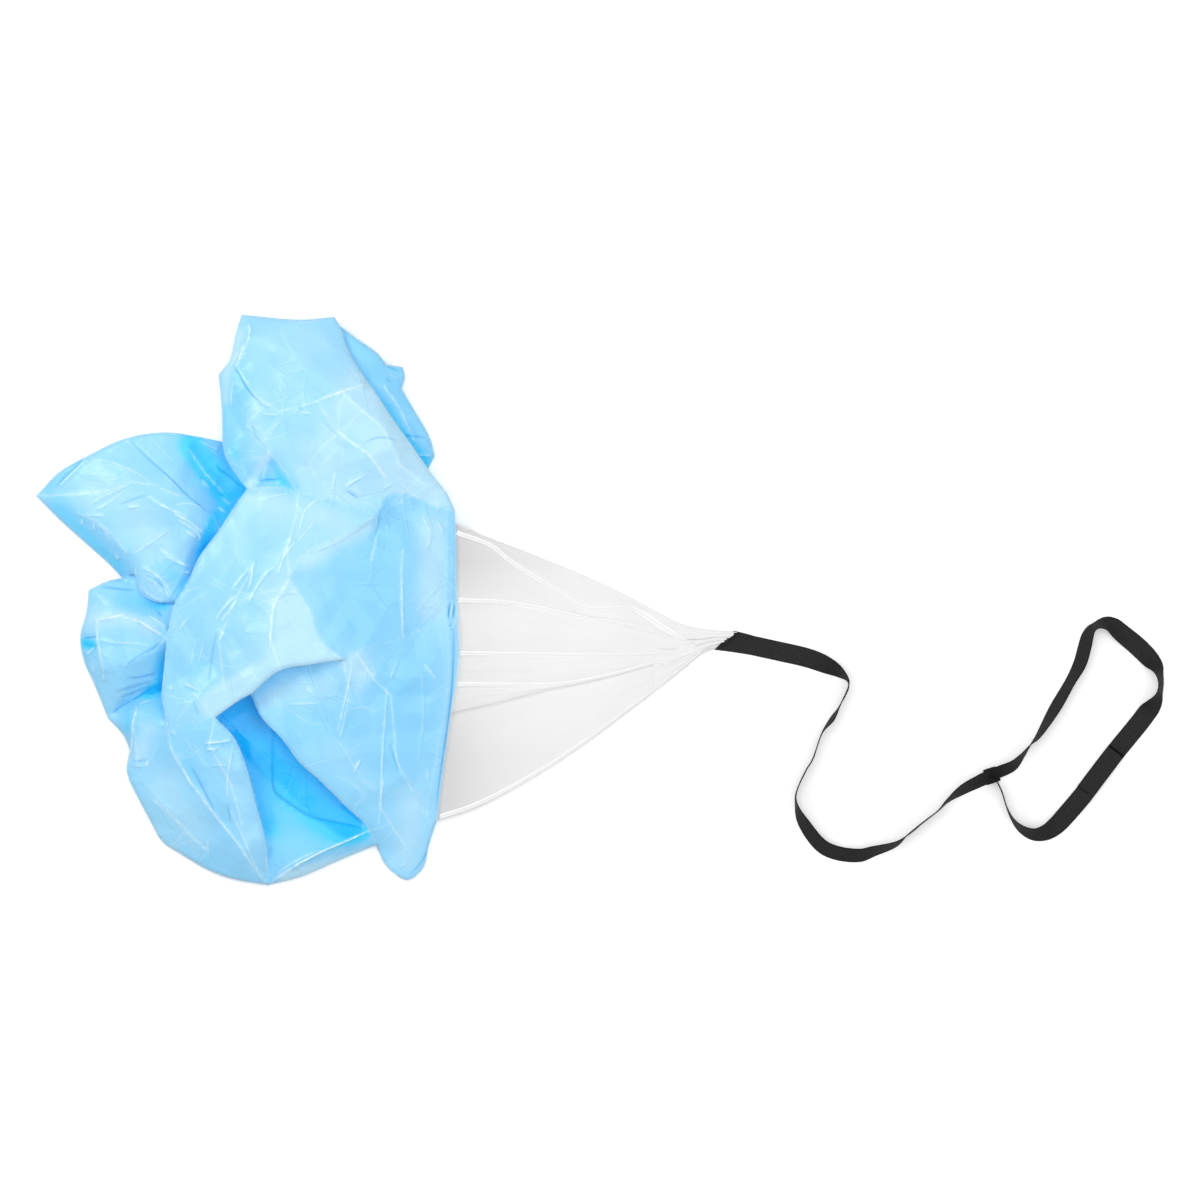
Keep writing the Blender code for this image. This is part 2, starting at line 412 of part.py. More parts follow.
SHORT_STRAP_ROUTE_SHARES = [
    (0.045, 0.262, 90), (0.075, 0.213, 90), (0.1, 0.15, 90), (0.135, 0.093, 83),
    (0.187, 0.05, 68), (0.255, 0.027, 52), (0.325, 0.036, 35), (0.385, 0.067, 18),
    (0.44, 0.112, 6), (0.49, 0.157, 0), (0.512, 0.178, 0),
]
# The share of the short strap's run over which it climbs onto the long strap
CLIMB_SHARE = 0.16
TAB_LENGTH = 0.077
# The long strap's end lies under the fold line of the tab
HINGE_SHARES = (0.555, 0.22)
STRAP_RING_SPACING = 0.009

# The stack of the closed overlap, from the floor up
LOOP_MID_Z = GAP + WEBBING_THICKNESS + GAP + PATCH_THICKNESS / 2
HOOK_MID_Z = LOOP_MID_Z + PATCH_THICKNESS + GAP
TAB_MID_Z = HOOK_MID_Z + PATCH_THICKNESS / 2 + GAP + WEBBING_THICKNESS / 2

CLOTH_COLOUR = (0.30, 0.66, 0.93, 1.0)
NET_COLOUR = (0.88, 0.88, 0.88, 1.0)
TAPE_COLOUR = (0.93, 0.93, 0.93, 1.0)
WEBBING_COLOUR = (0.022, 0.022, 0.022, 1.0)
PILE_COLOUR = (0.03, 0.03, 0.03, 1.0)


def clear_scene():
    for item in list(bpy.data.objects):
        bpy.data.objects.remove(item, do_unlink=True)


def make_material(name, colour, roughness):
    material = bpy.data.materials.new(name)
    material.use_nodes = True
    shader = material.node_tree.nodes["Principled BSDF"]
    shader.inputs["Base Color"].default_value = colour
    shader.inputs["Roughness"].default_value = roughness
    shader.inputs["Metallic"].default_value = 0.0
    material.diffuse_color = colour
    return material


def add_object(name, mesh, colour, roughness, parent=None):
    item = bpy.data.objects.new(name, mesh)
    bpy.context.scene.collection.objects.link(item)
    mesh.materials.append(make_material(name + "_finish", colour, roughness))
    if parent is not None:
        item.parent = parent
    return item


def finish_mesh(name, work):
    bmesh.ops.triangulate(work, faces=work.faces[:])
    bmesh.ops.recalc_face_normals(work, faces=work.faces[:])
    mesh = bpy.data.meshes.new(name)
    work.to_mesh(mesh)
    work.free()
    return mesh


def canopy_place(shares):
    return Vector((CANOPY_LEFT_X + shares[0] * CANOPY_LAY_LENGTH,
                   CANOPY_FRONT_Y + shares[1] * CANOPY_LAY_WIDTH))


def point_place(point):
    if point in EDGE_SHARES:
        return canopy_place(EDGE_SHARES[point])
    return canopy_place(FOLD_SHARES[point])


def heap_height(share):
    return CLOTH_FLOOR_Z + share * (CANOPY_HEAP_HEIGHT - CLOTH_FLOOR_Z)


def inward_offsets(loop, distance):
    # Each corner of a counter-clockwise plan loop moved inwards on its mitre
    moved = []
    count = len(loop)
    for index in range(count):
        before = (loop[index] - loop[index - 1]).normalized()
        after = (loop[(index + 1) % count] - loop[index]).normalized()
        normal_before = Vector((-before.y, before.x))
        normal_after = Vector((-after.y, after.x))
        mitre = (normal_before + normal_after).normalized()
        stretch = min(1 / max(mitre.dot(normal_after), 0.1), 2.5)
        moved.append(mitre * distance * stretch)
    return moved


def foot_height(point, height):
    # Where a lobe's turned-down edge stops: on the floor layer round the
    # outside, and a seam allowance below the lower of two joined edges
    if point in EDGE_SHARES:
        return CLOTH_FLOOR_Z
    lowest = height
    for _, outline_shares, _, _ in LOBES:
        for other, share in outline_shares:
            if other == point:
                lowest = min(lowest, heap_height(share))
    return max(lowest - SEAM_ALLOWANCE, CLOTH_FLOOR_Z)


def is_counter_clockwise(loop):
    area = 0.0
    for index in range(len(loop)):
        area += loop[index - 1].cross(loop[index])
    return area > 0


def nearest_place(plan, place):
    distances = [(place - other).length for other in plan]
    return distances.index(min(distances))


def cloth_sheet(outline_shares, inner_shares, folds):
    # The lobe's upper face: a triangulated net of its fold points
    names = [point for point, _ in outline_shares]
    heights = [heap_height(share) for _, share in outline_shares]
    loop = [point_place(point) for point in names]
    if not is_counter_clockwise(loop):
        names.reverse()
        heights.reverse()
        loop.reverse()
    inset = inward_offsets(loop, GAP / 2)
    plan = [corner + move for corner, move in zip(loop, inset)]
    feet = [foot_height(point, height) for point, height in zip(names, heights)]
    count = len(plan)
    order = {point: index for index, point in enumerate(names)}
    for point, shares in inner_shares.items():
        order[point] = len(plan)
        plan.append(canopy_place(shares))
        heights.append(heap_height(shares[2]))
        feet.append(heights[-1])
    edges = [(index, (index + 1) % count) for index in range(count)]
    for fold in folds:
        edges += [(order[a], order[b]) for a, b in zip(fold, fold[1:])]
    found = delaunay_2d_cdt(plan, edges, [], 1, GAP / 10)
    work = bmesh.new()
    foot = work.verts.layers.float.new("foot")
    corners = []
    for place, sources in zip(found[0], found[3]):
        # A corner where two fold lines cross takes after its nearest point
        source = sources[0] if sources else nearest_place(plan, place)
        corner = work.verts.new((place.x, place.y, heights[source]))
        corner[foot] = feet[source]
        corners.append(corner)
    for face in found[2]:
        work.faces.new([corners[index] for index in face])
    return work, foot


def soften_sheet(work):
    # One cut through every triangle, then the inside eased a little
    bmesh.ops.subdivide_edges(work, edges=work.edges[:], cuts=1, use_grid_fill=True)
    inside = [corner for corner in work.verts if not corner.is_boundary]
    bmesh.ops.smooth_vert(work, verts=inside, factor=0.35, use_axis_z=True,
                          use_axis_x=False, use_axis_y=False)


def boundary_loop(work):
    start = next(edge for edge in work.edges if edge.is_boundary)
    face = start.link_faces[0]
    for link in face.loops:
        if link.edge == start:
            first, current = link.vert, link.link_loop_next.vert
    loop = [first]
    previous = first
    while current != first:
        loop.append(current)
        for edge in current.link_edges:
            other = edge.other_vert(current)
            if edge.is_boundary and other != previous:
                previous, current = current, other
                break
    return loop


def cloth_shell(work, foot, thickness):
    # The sheet gets its thickness, and its edge is turned down all round
    top_faces = work.faces[:]
    loop = boundary_loop(work)
    plan = [Vector((corner.co.x, corner.co.y)) for corner in loop]
    moves = inward_offsets(plan, thickness)
    move_of = dict(zip(loop, moves))
    under = {}
    for corner in work.verts[:]:
        move = move_of.get(corner, Vector((0.0, 0.0)))
        place = (corner.co.x + move.x, corner.co.y + move.y, corner.co.z - thickness)
        under[corner] = work.verts.new(place)
    outer = []
    inner = []
    for corner, move in zip(loop, moves):
        low = min(corner[foot], corner.co.z - thickness - thickness)
        outer.append(work.verts.new((corner.co.x, corner.co.y, low)))
        inner.append(work.verts.new((corner.co.x + move.x, corner.co.y + move.y, low)))
    for face in top_faces:
        work.faces.new([under[corner] for corner in reversed(face.verts)])
    count = len(loop)
    for index in range(count):
        after = (index + 1) % count
        work.faces.new((loop[after], loop[index], outer[index], outer[after]))
        work.faces.new((outer[after], outer[index], inner[index], inner[after]))
        work.faces.new((inner[after], inner[index], under[loop[index]],
                        under[loop[after]]))


def make_lobe(name, outline_shares, inner_shares, folds):
    work, foot = cloth_sheet(outline_shares, inner_shares, folds)
    if inner_shares:
        soften_sheet(work)
    cloth_shell(work, foot, CLOTH_THICKNESS)
    return add_object(name, finish_mesh(name, work), CLOTH_COLOUR, 0.35)


def make_under_layer():
    loop = [canopy_place(shares) for shares in EDGE_SHARES.values()]
    if not is_counter_clockwise(loop):
        loop.reverse()
    inset = inward_offsets(loop, UNDER_LAYER_INSET)
    work = bmesh.new()
    low = [work.verts.new((a.x + b.x, a.y + b.y, 0.0)) for a, b in zip(loop, inset)]
    face = work.faces.new(low)
    grown = bmesh.ops.extrude_face_region(work, geom=[face])
    raised = [item for item in grown["geom"] if isinstance(item, bmesh.types.BMVert)]
    bmesh.ops.translate(work, vec=(0.0, 0.0, CLOTH_THICKNESS), verts=raised)
    mesh = finish_mesh("canopy_under_layer", work)
    return add_object("canopy_under_layer", mesh, CLOTH_COLOUR, 0.35)


def rim_height(point):
    for _, outline_shares, _, _ in LOBES[-2:]:
        for other, share in outline_shares:
            if other == point:
                return heap_height(share) - CLOTH_THICKNESS
    return NET_REST_HEIGHT


def net_line(key):
    # A tape's route from the rim to the gather's mouth, one place per station
    rim_point, mouth_share, sag_shares = NET_LINE_SHARES[key]
    start = point_place(rim_point) + Vector((GAP, 0.0))
    if key == "edge":
        start.y += NET_EDGE_LIP
    end = Vector((APEX_X - GATHER_LENGTH - GAP,
                  APEX_Y + mouth_share * GATHER_MOUTH_WIDTH))
    knots = [(0.0, 0.0)] + list(sag_shares) + [(1.0, 0.0)]
    top = rim_height(rim_point)
    places = []
    for station in range(NET_STATIONS + 1):
        run = station / NET_STATIONS
        sag = smooth_value(knots, run) * NET_TAPE_SAG
        place = start.lerp(end, run) + Vector((0.0, sag))
        drop = (1 - run) ** NET_DROP_POWER
        height = NET_REST_HEIGHT + (top - NET_REST_HEIGHT) * drop
        places.append(Vector((place.x, place.y, height)))
    return places


def smooth_value(knots, run):
    # A smooth curve through (share, value) knots
    for index in range(len(knots) - 1):
        if run <= knots[index + 1][0]:
            break
    left, right = knots[index], knots[index + 1]
    before = knots[max(index - 1, 0)]
    after = knots[min(index + 2, len(knots) - 1)]
    width = right[0] - left[0]
    part = (run - left[0]) / width
    slope_left = (right[1] - before[1]) / (right[0] - before[0]) * width
    slope_right = (after[1] - left[1]) / (after[0] - left[0]) * width
    square = part * part
    cube = square * part
    return ((2 * cube - 3 * square + 1) * left[1] + (cube - 2 * square + part) * slope_left
            + (3 * square - 2 * cube) * right[1] + (cube - square) * slope_right)


def rim_x_at(y):
    # The outer face of the rim at a place along it
    line = [point_place(point) for point in RIM_POINTS]
    for upper, lower in zip(line, line[1:]):
        if y >= lower.y:
            break
    part = (upper.y - y) / (upper.y - lower.y)
    return upper.x + (lower.x - upper.x) * part + GAP


def side_step(places, station):
    # The plan direction square to a line, or along the rim or mouth at its ends
    if station in (0, len(places) - 1):
        return Vector((0.0, 1.0, 0.0))
    before = places[station - 1]
    after = places[station + 1]
    along = Vector((after.x - before.x, after.y - before.y)).normalized()
    return Vector((-along.y, along.x, 0.0))


def tape_half_width(station):
    run = station / NET_STATIONS
    return (NET_TAPE_WIDTH + (NET_TAPE_END_WIDTH - NET_TAPE_WIDTH) * run) / 2


def plate_from_rows(rows, thickness):
    # A closed plate between a grid of upper places and its lower copy
    work = bmesh.new()
    top = [[work.verts.new(place) for place in row] for row in rows]
    low = [[work.verts.new(place - Vector((0.0, 0.0, thickness))) for place in row]
           for row in rows]
    last = len(rows) - 1
    side = len(rows[0]) - 1
    for i in range(last):
        for j in range(side):
            work.faces.new((top[i][j], top[i + 1][j], top[i + 1][j + 1], top[i][j + 1]))
            work.faces.new((low[i][j], low[i][j + 1], low[i + 1][j + 1], low[i + 1][j]))
    for i in range(last):
        work.faces.new((top[i][0], low[i][0], low[i + 1][0], top[i + 1][0]))
        work.faces.new((top[i][side], top[i + 1][side], low[i + 1][side], low[i][side]))
    for j in range(side):
        work.faces.new((top[0][j], top[0][j + 1], low[0][j + 1], low[0][j]))
        work.faces.new((top[last][j], low[last][j], low[last][j + 1], top[last][j + 1]))
    return work


def meet_rim(row):
    for place in row:
        place.x = rim_x_at(place.y)


def make_tape(name, line):
    rows = []
    for station, place in enumerate(line):
        half = side_step(line, station) * tape_half_width(station)
        lift = Vector((0.0, 0.0, NET_TAPE_THICKNESS - NET_THICKNESS))
        rows.append([place + half + lift, place - half + lift])
    meet_rim(rows[0])
    mesh = finish_mesh(name, plate_from_rows(rows, NET_TAPE_THICKNESS))
    return add_object(name, mesh, TAPE_COLOUR, 0.6)


def make_net_panel(name, upper, lower, upper_is_tape):
    # Netting between two lines, clear of the tapes sewn over its seams
    rows = []
    for station in range(NET_STATIONS + 1):
        clear = tape_half_width(station) + GAP
        start = upper[station]
        if upper_is_tape:
            start = start - side_step(upper, station) * clear
        end = lower[station] + side_step(lower, station) * clear
        row = []
        for column in range(NET_COLUMNS + 1):
            part = column / NET_COLUMNS
            place = start.lerp(end, part)
            run = station / NET_STATIONS
            swell = math.sin(math.pi * part) * math.sin(math.pi * run)
            wave = math.cos(2 * math.pi * NET_FOLD_WAVES * run) + 1
            place.z += NET_FOLD_HEIGHT * swell * wave / 2
            row.append(place)
        rows.append(row)
    meet_rim(rows[0])
    mesh = finish_mesh(name, plate_from_rows(rows, NET_THICKNESS))
    return add_object(name, mesh, NET_COLOUR, 0.7)


def make_net():
    lines = {key: net_line(key) for key in NET_LINE_SHARES}
    keys = list(NET_LINE_SHARES)
    for number in range(len(keys) - 1):
        make_net_panel("net_panel_%d" % (number + 1), lines[keys[number]],
                       lines[keys[number + 1]], number > 0)
    for key in NET_TAPES:
        make_tape("net_" + key, lines[key])
    rows = []
    for places in zip(*lines.values()):
        flat = [Vector((place.x, place.y, NET_THICKNESS)) for place in places]
        flat[0] = flat[0].lerp(flat[-1], NET_UNDER_INSET_SHARE)
        flat[-1] = flat[-1].lerp(flat[0], NET_UNDER_INSET_SHARE)
        rows.append(flat)
    meet_rim(rows[0])
    mesh = finish_mesh("net_under_layer", plate_from_rows(rows, NET_THICKNESS))
    add_object("net_under_layer", mesh, NET_COLOUR, 0.7)


def make_gather():
    mouth_x = APEX_X - GATHER_LENGTH
    rows = []
    ends = zip(GATHER_UPPER_SHARES, GATHER_LOWER_SHARES, GATHER_ROW_HEIGHT_SHARES)
    for upper_shares, lower_shares, height_share in ends:
        upper = Vector((mouth_x + upper_shares[0] * GATHER_LENGTH,
                        APEX_Y + upper_shares[1] * GATHER_MOUTH_WIDTH, 0.0))
        lower = Vector((mouth_x + lower_shares[0] * GATHER_LENGTH,
                        APEX_Y + lower_shares[1] * GATHER_MOUTH_WIDTH, 0.0))
        row = []
        last = len(GATHER_COLUMN_HEIGHT_SHARES) - 1
        for column, column_share in enumerate(GATHER_COLUMN_HEIGHT_SHARES):
            place = upper.lerp(lower, column / last)
            place.z = GATHER_HEIGHT * height_share * column_share
            row.append(place)
        rows.append(row)
    work = plate_from_rows(rows, 0.0)
    half = len(work.verts) // 2
    work.verts.ensure_lookup_table()
    for corner in work.verts[half:]:
        corner.co.z = NET_FLOOR_Z
    return add_object("net_gather", finish_mesh("net_gather", work), NET_COLOUR, 0.7)


def catmull(points, spacing):
    # Places along a smooth curve through the route's points, at even steps
    fine = []
    for index in range(len(points) - 1):
        p0 = points[max(index - 1, 0)]
        p1 = points[index]
        p2 = points[index + 1]
        p3 = points[min(index + 2, len(points) - 1)]
        steps = max(int(math.dist(p1[:2], p2[:2]) / spacing + 0.5), 1)
        for step in range(steps):
            part = step / steps
            fine.append([0.5 * ((2 * b) + (c - a) * part
                                + (2 * a - 5 * b + 4 * c - d) * part ** 2
                                + (3 * b - a - 3 * c + d) * part ** 3)
                         for a, b, c, d in zip(p0, p1, p2, p3)])
    fine.append(list(points[-1]))
    return fine


def strap_rest_height(roll):
    return (WEBBING_WIDTH * abs(math.sin(roll))
            + WEBBING_THICKNESS * abs(math.cos(roll))) / 2


def strap_rings(route, width, thickness):
    # Four corners of the strap's section at each place of (x, y, z, roll)
    rings = []
    for index, place in enumerate(route):
        before = route[max(index - 1, 0)]
        after = route[min(index + 1, len(route) - 1)]
        along = Vector((after[0] - before[0], after[1] - before[1],
                        after[2] - before[2])).normalized()
        side = Vector((-along.y, along.x, 0.0)).normalized()
        up = along.cross(side)
        roll = place[3]
        across = side * math.cos(roll) + up * math.sin(roll)
        normal = along.cross(across)
        centre = Vector(place[:3])
        rings.append([centre + across * (a * width / 2) + normal * (b * thickness / 2)
                      for a, b in ((1, 1), (-1, 1), (-1, -1), (1, -1))])
    return rings


def mesh_from_rings(name, rings):
    work = bmesh.new()
    loops = [[work.verts.new(place) for place in ring] for ring in rings]
    for before, after in zip(loops, loops[1:]):
        for side in range(len(before)):
            follow = (side + 1) % len(before)
            work.faces.new((before[side], before[follow], after[follow], after[side]))
    work.faces.new(list(reversed(loops[0])))
    work.faces.new(loops[-1])
    return finish_mesh(name, work)


def strap_route(route_shares, corner, length, width):
    points = []
    for x_share, y_share, roll_degrees in route_shares:
        roll = math.radians(roll_degrees)
        points.append((corner.x + x_share * length, corner.y + y_share * width,
                       strap_rest_height(roll) + GAP, roll))
    return catmull(points, STRAP_RING_SPACING)


def make_leader():
    # The leader starts against the slanting end of the gathered netting
    slant = (GATHER_SLANT_SHARE * GATHER_LENGTH) / (GATHER_END_SHARE * GATHER_MOUTH_WIDTH)
    start_x = APEX_X - (1 - LEADER_START_SHARE) * GATHER_LENGTH
    shares = [((start_x - APEX_X) / LEADER_LAY_LENGTH, 0.0, 0)] + LEADER_ROUTE_SHARES
    route = strap_route(shares, Vector((APEX_X, APEX_Y)), LEADER_LAY_LENGTH,
                        LEADER_LAY_WIDTH)
    rings = strap_rings(route, WEBBING_WIDTH, WEBBING_THICKNESS)
    for place, ring in zip(route, rings):
        reach = (place[0] - start_x) / GATHER_LENGTH / LEADER_SLANT_RUN_SHARE
        fade = max(1 - reach, 0.0)
        for corner in ring:
            own = corner.x - place[0]
            corner.x += (slant * (corner.y - place[1]) - own) * fade
        if reach > 1:
            break
    mesh = mesh_from_rings("leader_strap", rings)
    return add_object("leader_strap", mesh, WEBBING_COLOUR, 0.7)


def belt_corner():
    return Vector((BELT_START_X, BELT_FRONT_Y))


def make_belt():
    corner = belt_corner()
    long_route = strap_route(LONG_STRAP_ROUTE_SHARES, corner, BELT_LAY_LENGTH,
                             BELT_LAY_WIDTH)
    rings = strap_rings(long_route, WEBBING_WIDTH, WEBBING_THICKNESS)
    add_object("belt_long_strap", mesh_from_rings("belt_long_strap", rings),
               WEBBING_COLOUR, 0.7)

    hinge = corner + Vector((HINGE_SHARES[0] * BELT_LAY_LENGTH,
                             HINGE_SHARES[1] * BELT_LAY_WIDTH))
    towards = Vector(long_route[-2][:2]) - Vector(long_route[-1][:2])
    along = Vector((towards.x, towards.y, 0.0)).normalized()
    side = Vector((-along.y, along.x, 0.0))
    short_points = strap_route(SHORT_STRAP_ROUTE_SHARES, corner, BELT_LAY_LENGTH,
                               BELT_LAY_WIDTH)
    end = Vector((hinge.x, hinge.y, TAB_MID_Z)) - along * (GAP / 2)
    lead_in = end - along * STRAP_RING_SPACING
    short_points += catmull([tuple(short_points[-1]), (*lead_in, 0.0)],
                            STRAP_RING_SPACING)[1:]
    short_points.append([*end, 0.0])
    lift_routes(short_points, TAB_MID_Z)
    rings = strap_rings(short_points, WEBBING_WIDTH, WEBBING_THICKNESS)
    add_object("belt_short_strap", mesh_from_rings("belt_short_strap", rings),
               WEBBING_COLOUR, 0.7)

    pivot = bpy.data.objects.new("belt_tab_pivot", None)
    bpy.context.scene.collection.objects.link(pivot)
    pivot.location = (hinge.x, hinge.y, TAB_MID_Z + WEBBING_THICKNESS / 2)

    patch_start = PATCH_END_MARGIN
    make_flat_strip("loop_patch", hinge, along, side, patch_start, PATCH_LENGTH,
                    PATCH_WIDTH, PATCH_THICKNESS, LOOP_MID_Z, PILE_COLOUR, None)
    make_flat_strip("belt_tab", hinge, along, side, GAP / 2, TAB_LENGTH,
                    WEBBING_WIDTH, WEBBING_THICKNESS, TAB_MID_Z, WEBBING_COLOUR, pivot)
    make_flat_strip("hook_patch", hinge, along, side, patch_start, PATCH_LENGTH,
                    PATCH_WIDTH, PATCH_THICKNESS, HOOK_MID_Z, PILE_COLOUR, pivot)


def lift_routes(points, top):
    # The last stretch of the short strap climbs from the floor onto the long one
    start = int(len(points) * (1 - CLIMB_SHARE))
    for index in range(start, len(points)):
        part = (index - start) / (len(points) - 1 - start)
        ease = part * part * (3 - 2 * part)
        floor_z = points[start][2]
        points[index][2] = floor_z + (top - floor_z) * ease


def make_flat_strip(name, hinge, along, side, start, length, width, thickness,
                    middle_z, colour, pivot):
    base = Vector((hinge.x, hinge.y, middle_z))
    rings = []
    for reach in (start, start + length):
        centre = base + along * reach
        rings.append([centre + side * (a * width / 2)
                      + Vector((0.0, 0.0, b * thickness / 2))
                      for a, b in ((1, 1), (-1, 1), (-1, -1), (1, -1))])
    mesh = mesh_from_rings(name, rings)
    item = add_object(name, mesh, colour, 0.8, pivot)
    if pivot is not None:
        for corner in mesh.vertices:
            corner.co -= pivot.location
    return item


def main():
    clear_scene()
    for name, outline_shares, inner_shares, folds in LOBES:
        make_lobe(name, outline_shares, inner_shares, folds)
    make_under_layer()
    make_net()
    make_gather()
    make_leader()
    make_belt()
    bpy.context.view_layer.update()


main()
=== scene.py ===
import math
from string import ascii_lowercase

import bmesh
import bpy
import numpy as np
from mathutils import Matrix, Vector, noise
from mathutils.bvhtree import BVHTree
from mathutils.geometry import delaunay_2d_cdt
from mathutils.kdtree import KDTree


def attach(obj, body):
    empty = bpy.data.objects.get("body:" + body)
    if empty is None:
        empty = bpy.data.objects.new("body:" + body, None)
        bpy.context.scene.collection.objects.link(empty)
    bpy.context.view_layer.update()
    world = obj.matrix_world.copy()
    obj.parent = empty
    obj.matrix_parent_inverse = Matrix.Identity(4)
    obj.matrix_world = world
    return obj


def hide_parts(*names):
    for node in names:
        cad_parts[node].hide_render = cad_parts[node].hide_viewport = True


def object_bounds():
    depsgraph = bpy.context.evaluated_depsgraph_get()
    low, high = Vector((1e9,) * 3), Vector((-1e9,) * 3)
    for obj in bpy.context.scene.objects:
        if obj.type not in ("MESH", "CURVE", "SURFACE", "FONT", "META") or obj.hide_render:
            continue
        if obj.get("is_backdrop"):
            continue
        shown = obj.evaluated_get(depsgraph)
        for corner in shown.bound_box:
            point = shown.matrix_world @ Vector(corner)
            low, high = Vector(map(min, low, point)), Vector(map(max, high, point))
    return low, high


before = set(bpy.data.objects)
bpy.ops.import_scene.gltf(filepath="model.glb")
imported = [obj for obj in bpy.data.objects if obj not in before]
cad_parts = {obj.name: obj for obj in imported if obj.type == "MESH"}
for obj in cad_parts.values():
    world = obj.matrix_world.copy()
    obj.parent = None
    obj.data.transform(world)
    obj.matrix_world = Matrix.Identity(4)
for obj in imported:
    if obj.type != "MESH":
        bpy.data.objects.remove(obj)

CAD_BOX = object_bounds()

# The photograph looks straight down: one of its pixels covers this much floor
PIXEL = 0.00155
MIDDLE_PIXEL = (600.1, 600.3)
FRAME_PIXELS = 1200
CAMERA_HEIGHT = 30.0

# Sizes that the pieces share with the CAD, in metres
HEAP_HEIGHT = 0.095
CLOTH_FLOOR = 0.0013
NET_FLOOR = 0.0025
STRAP_WIDTH = 0.030
STRAP_THICKNESS = 0.0018
GAP = 0.0003

# Light
WORLD_LEVEL = 0.46
LAMPS = {"key": ((-2.2, 1.1, 2.0), 1.0, 27.0), "fill": ((2.2, -0.9, 2.2), 1.6, 13.0),
         "top": ((0.2, 0.3, 3.6), 3.2, 52.0)}
FLOOR_SIZE = 12.0
FLOOR_LEVEL = -0.0004
FLOOR_GREY = (0.8, 0.8, 0.8)
FLOOR_GLOW = 0.22
WHITE = (1.0, 1.0, 1.0)


def plan(pixel):
    return np.array([(pixel[0] - MIDDLE_PIXEL[0]) * PIXEL,
                     (MIDDLE_PIXEL[1] - pixel[1]) * PIXEL])


def pixel_line(text):
    # Places from pixels that are written as x,y with spaces between them
    return [plan(pixel) for pixel in values_of(text)]


def names_of(text):
    # The names in a text, where back_1..3 stands for back_1 back_2 back_3
    names = []
    for word in text.split():
        if ".." not in word:
            if word[0].isalpha():
                names.append(word)
            continue
        start, last = word.split("..")
        stem, first = start.rsplit("_", 1)
        step = 1 if int(last) > int(first) else -1
        names += [stem + "_" + str(n) for n in range(int(first), int(last) + step, step)]
    return names


def values_of(text):
    # The words in a text that are numbers, each one number or several with commas
    return [tuple(map(float, word.split(","))) for word in text.split()
            if not word[0].isalpha()]


def pixel_table(text):
    return dict(zip(names_of(text), values_of(text)))


# Shader nodes
def feed(tree, value, socket):
    # Another node's output is linked, a number or a colour is set on the socket
    if isinstance(value, bpy.types.NodeSocket):
        tree.links.new(value, socket)
    elif socket.type == "RGBA":
        socket.default_value = (*value, 1.0)
    else:
        socket.default_value = value


def feed_all(tree, node, inputs):
    for key, value in inputs.items():
        feed(tree, value, node.inputs[key])
    return node


def add_node(tree, kind, inputs):
    return feed_all(tree, tree.nodes.new("ShaderNode" + kind), inputs)


def math_node(tree, operation, *values, clamp=False):
    node = tree.nodes.new("ShaderNodeMath")
    node.operation = operation
    node.use_clamp = clamp
    for socket, value in zip(node.inputs, values):
        feed(tree, value, socket)
    return node.outputs[0]


def vector_node(tree, operation, inputs):
    node = tree.nodes.new("ShaderNodeVectorMath")
    node.operation = operation
    return feed_all(tree, node, inputs).outputs[0]


def noise_node(tree, place, scale, detail):
    inputs = {"Vector": place, "Scale": scale, "Detail": detail}
    return add_node(tree, "TexNoise", inputs).outputs["Fac"]


def map_range(tree, value, low=0.0, high=1.0, to_low=0.0, to_high=1.0, kind="LINEAR"):
    node = add_node(tree, "MapRange", {"Value": value, "From Min": low, "From Max": high,
                                       "To Min": to_low, "To Max": to_high})
    node.interpolation_type = kind
    return node.outputs["Result"]


def mix_colours(tree, factor, first, second):
    node = tree.nodes.new("ShaderNodeMix")
    node.data_type = "RGBA"
    return feed_all(tree, node, {"A": first, "B": second, "Factor": factor}).outputs["Result"]


def attribute(tree, name):
    node = tree.nodes.new("ShaderNodeAttribute")
    node.attribute_name = name
    return node.outputs["Fac"]


def coordinates(tree, kind):
    return tree.nodes.new("ShaderNodeTexCoord").outputs[kind]


def split_place(tree, place):
    return add_node(tree, "SeparateXYZ", {0: place}).outputs


def bump(tree, height, distance, strength, under=None):
    inputs = {"Height": height, "Distance": distance, "Strength": strength}
    if under is not None:
        inputs["Normal"] = under
    return add_node(tree, "Bump", inputs).outputs["Normal"]


def new_material(name, colour, roughness, specular=0.5):
    material = bpy.data.materials.new(name)
    material.use_nodes = True
    shader = material.node_tree.nodes["Principled BSDF"]
    feed_all(material.node_tree, shader, {"Base Color": colour, "Roughness": roughness,
                                          "Specular IOR Level": specular})
    return material, material.node_tree, shader


# Camera, floor and light
def place_object(name, data):
    item = bpy.data.objects.new(name, data)
    bpy.context.scene.collection.objects.link(item)
    return item


def make_camera():
    data = bpy.data.cameras.new("overhead")
    data.sensor_width = 36.0
    data.lens = data.sensor_width * CAMERA_HEIGHT / (FRAME_PIXELS * PIXEL)
    data.clip_end = 100.0
    camera = place_object("overhead", data)
    camera.location = (*plan((FRAME_PIXELS / 2, FRAME_PIXELS / 2)), CAMERA_HEIGHT)
    bpy.context.scene.camera = camera


def make_lamp(name, place, size, power):
    data = bpy.data.lights.new(name, "AREA")
    data.shape = "DISK"
    data.size = size
    data.energy = power
    data.spread = math.pi
    lamp = place_object(name, data)
    lamp.location = place
    lamp.rotation_euler = (-Vector(place)).to_track_quat("-Z", "Y").to_euler()


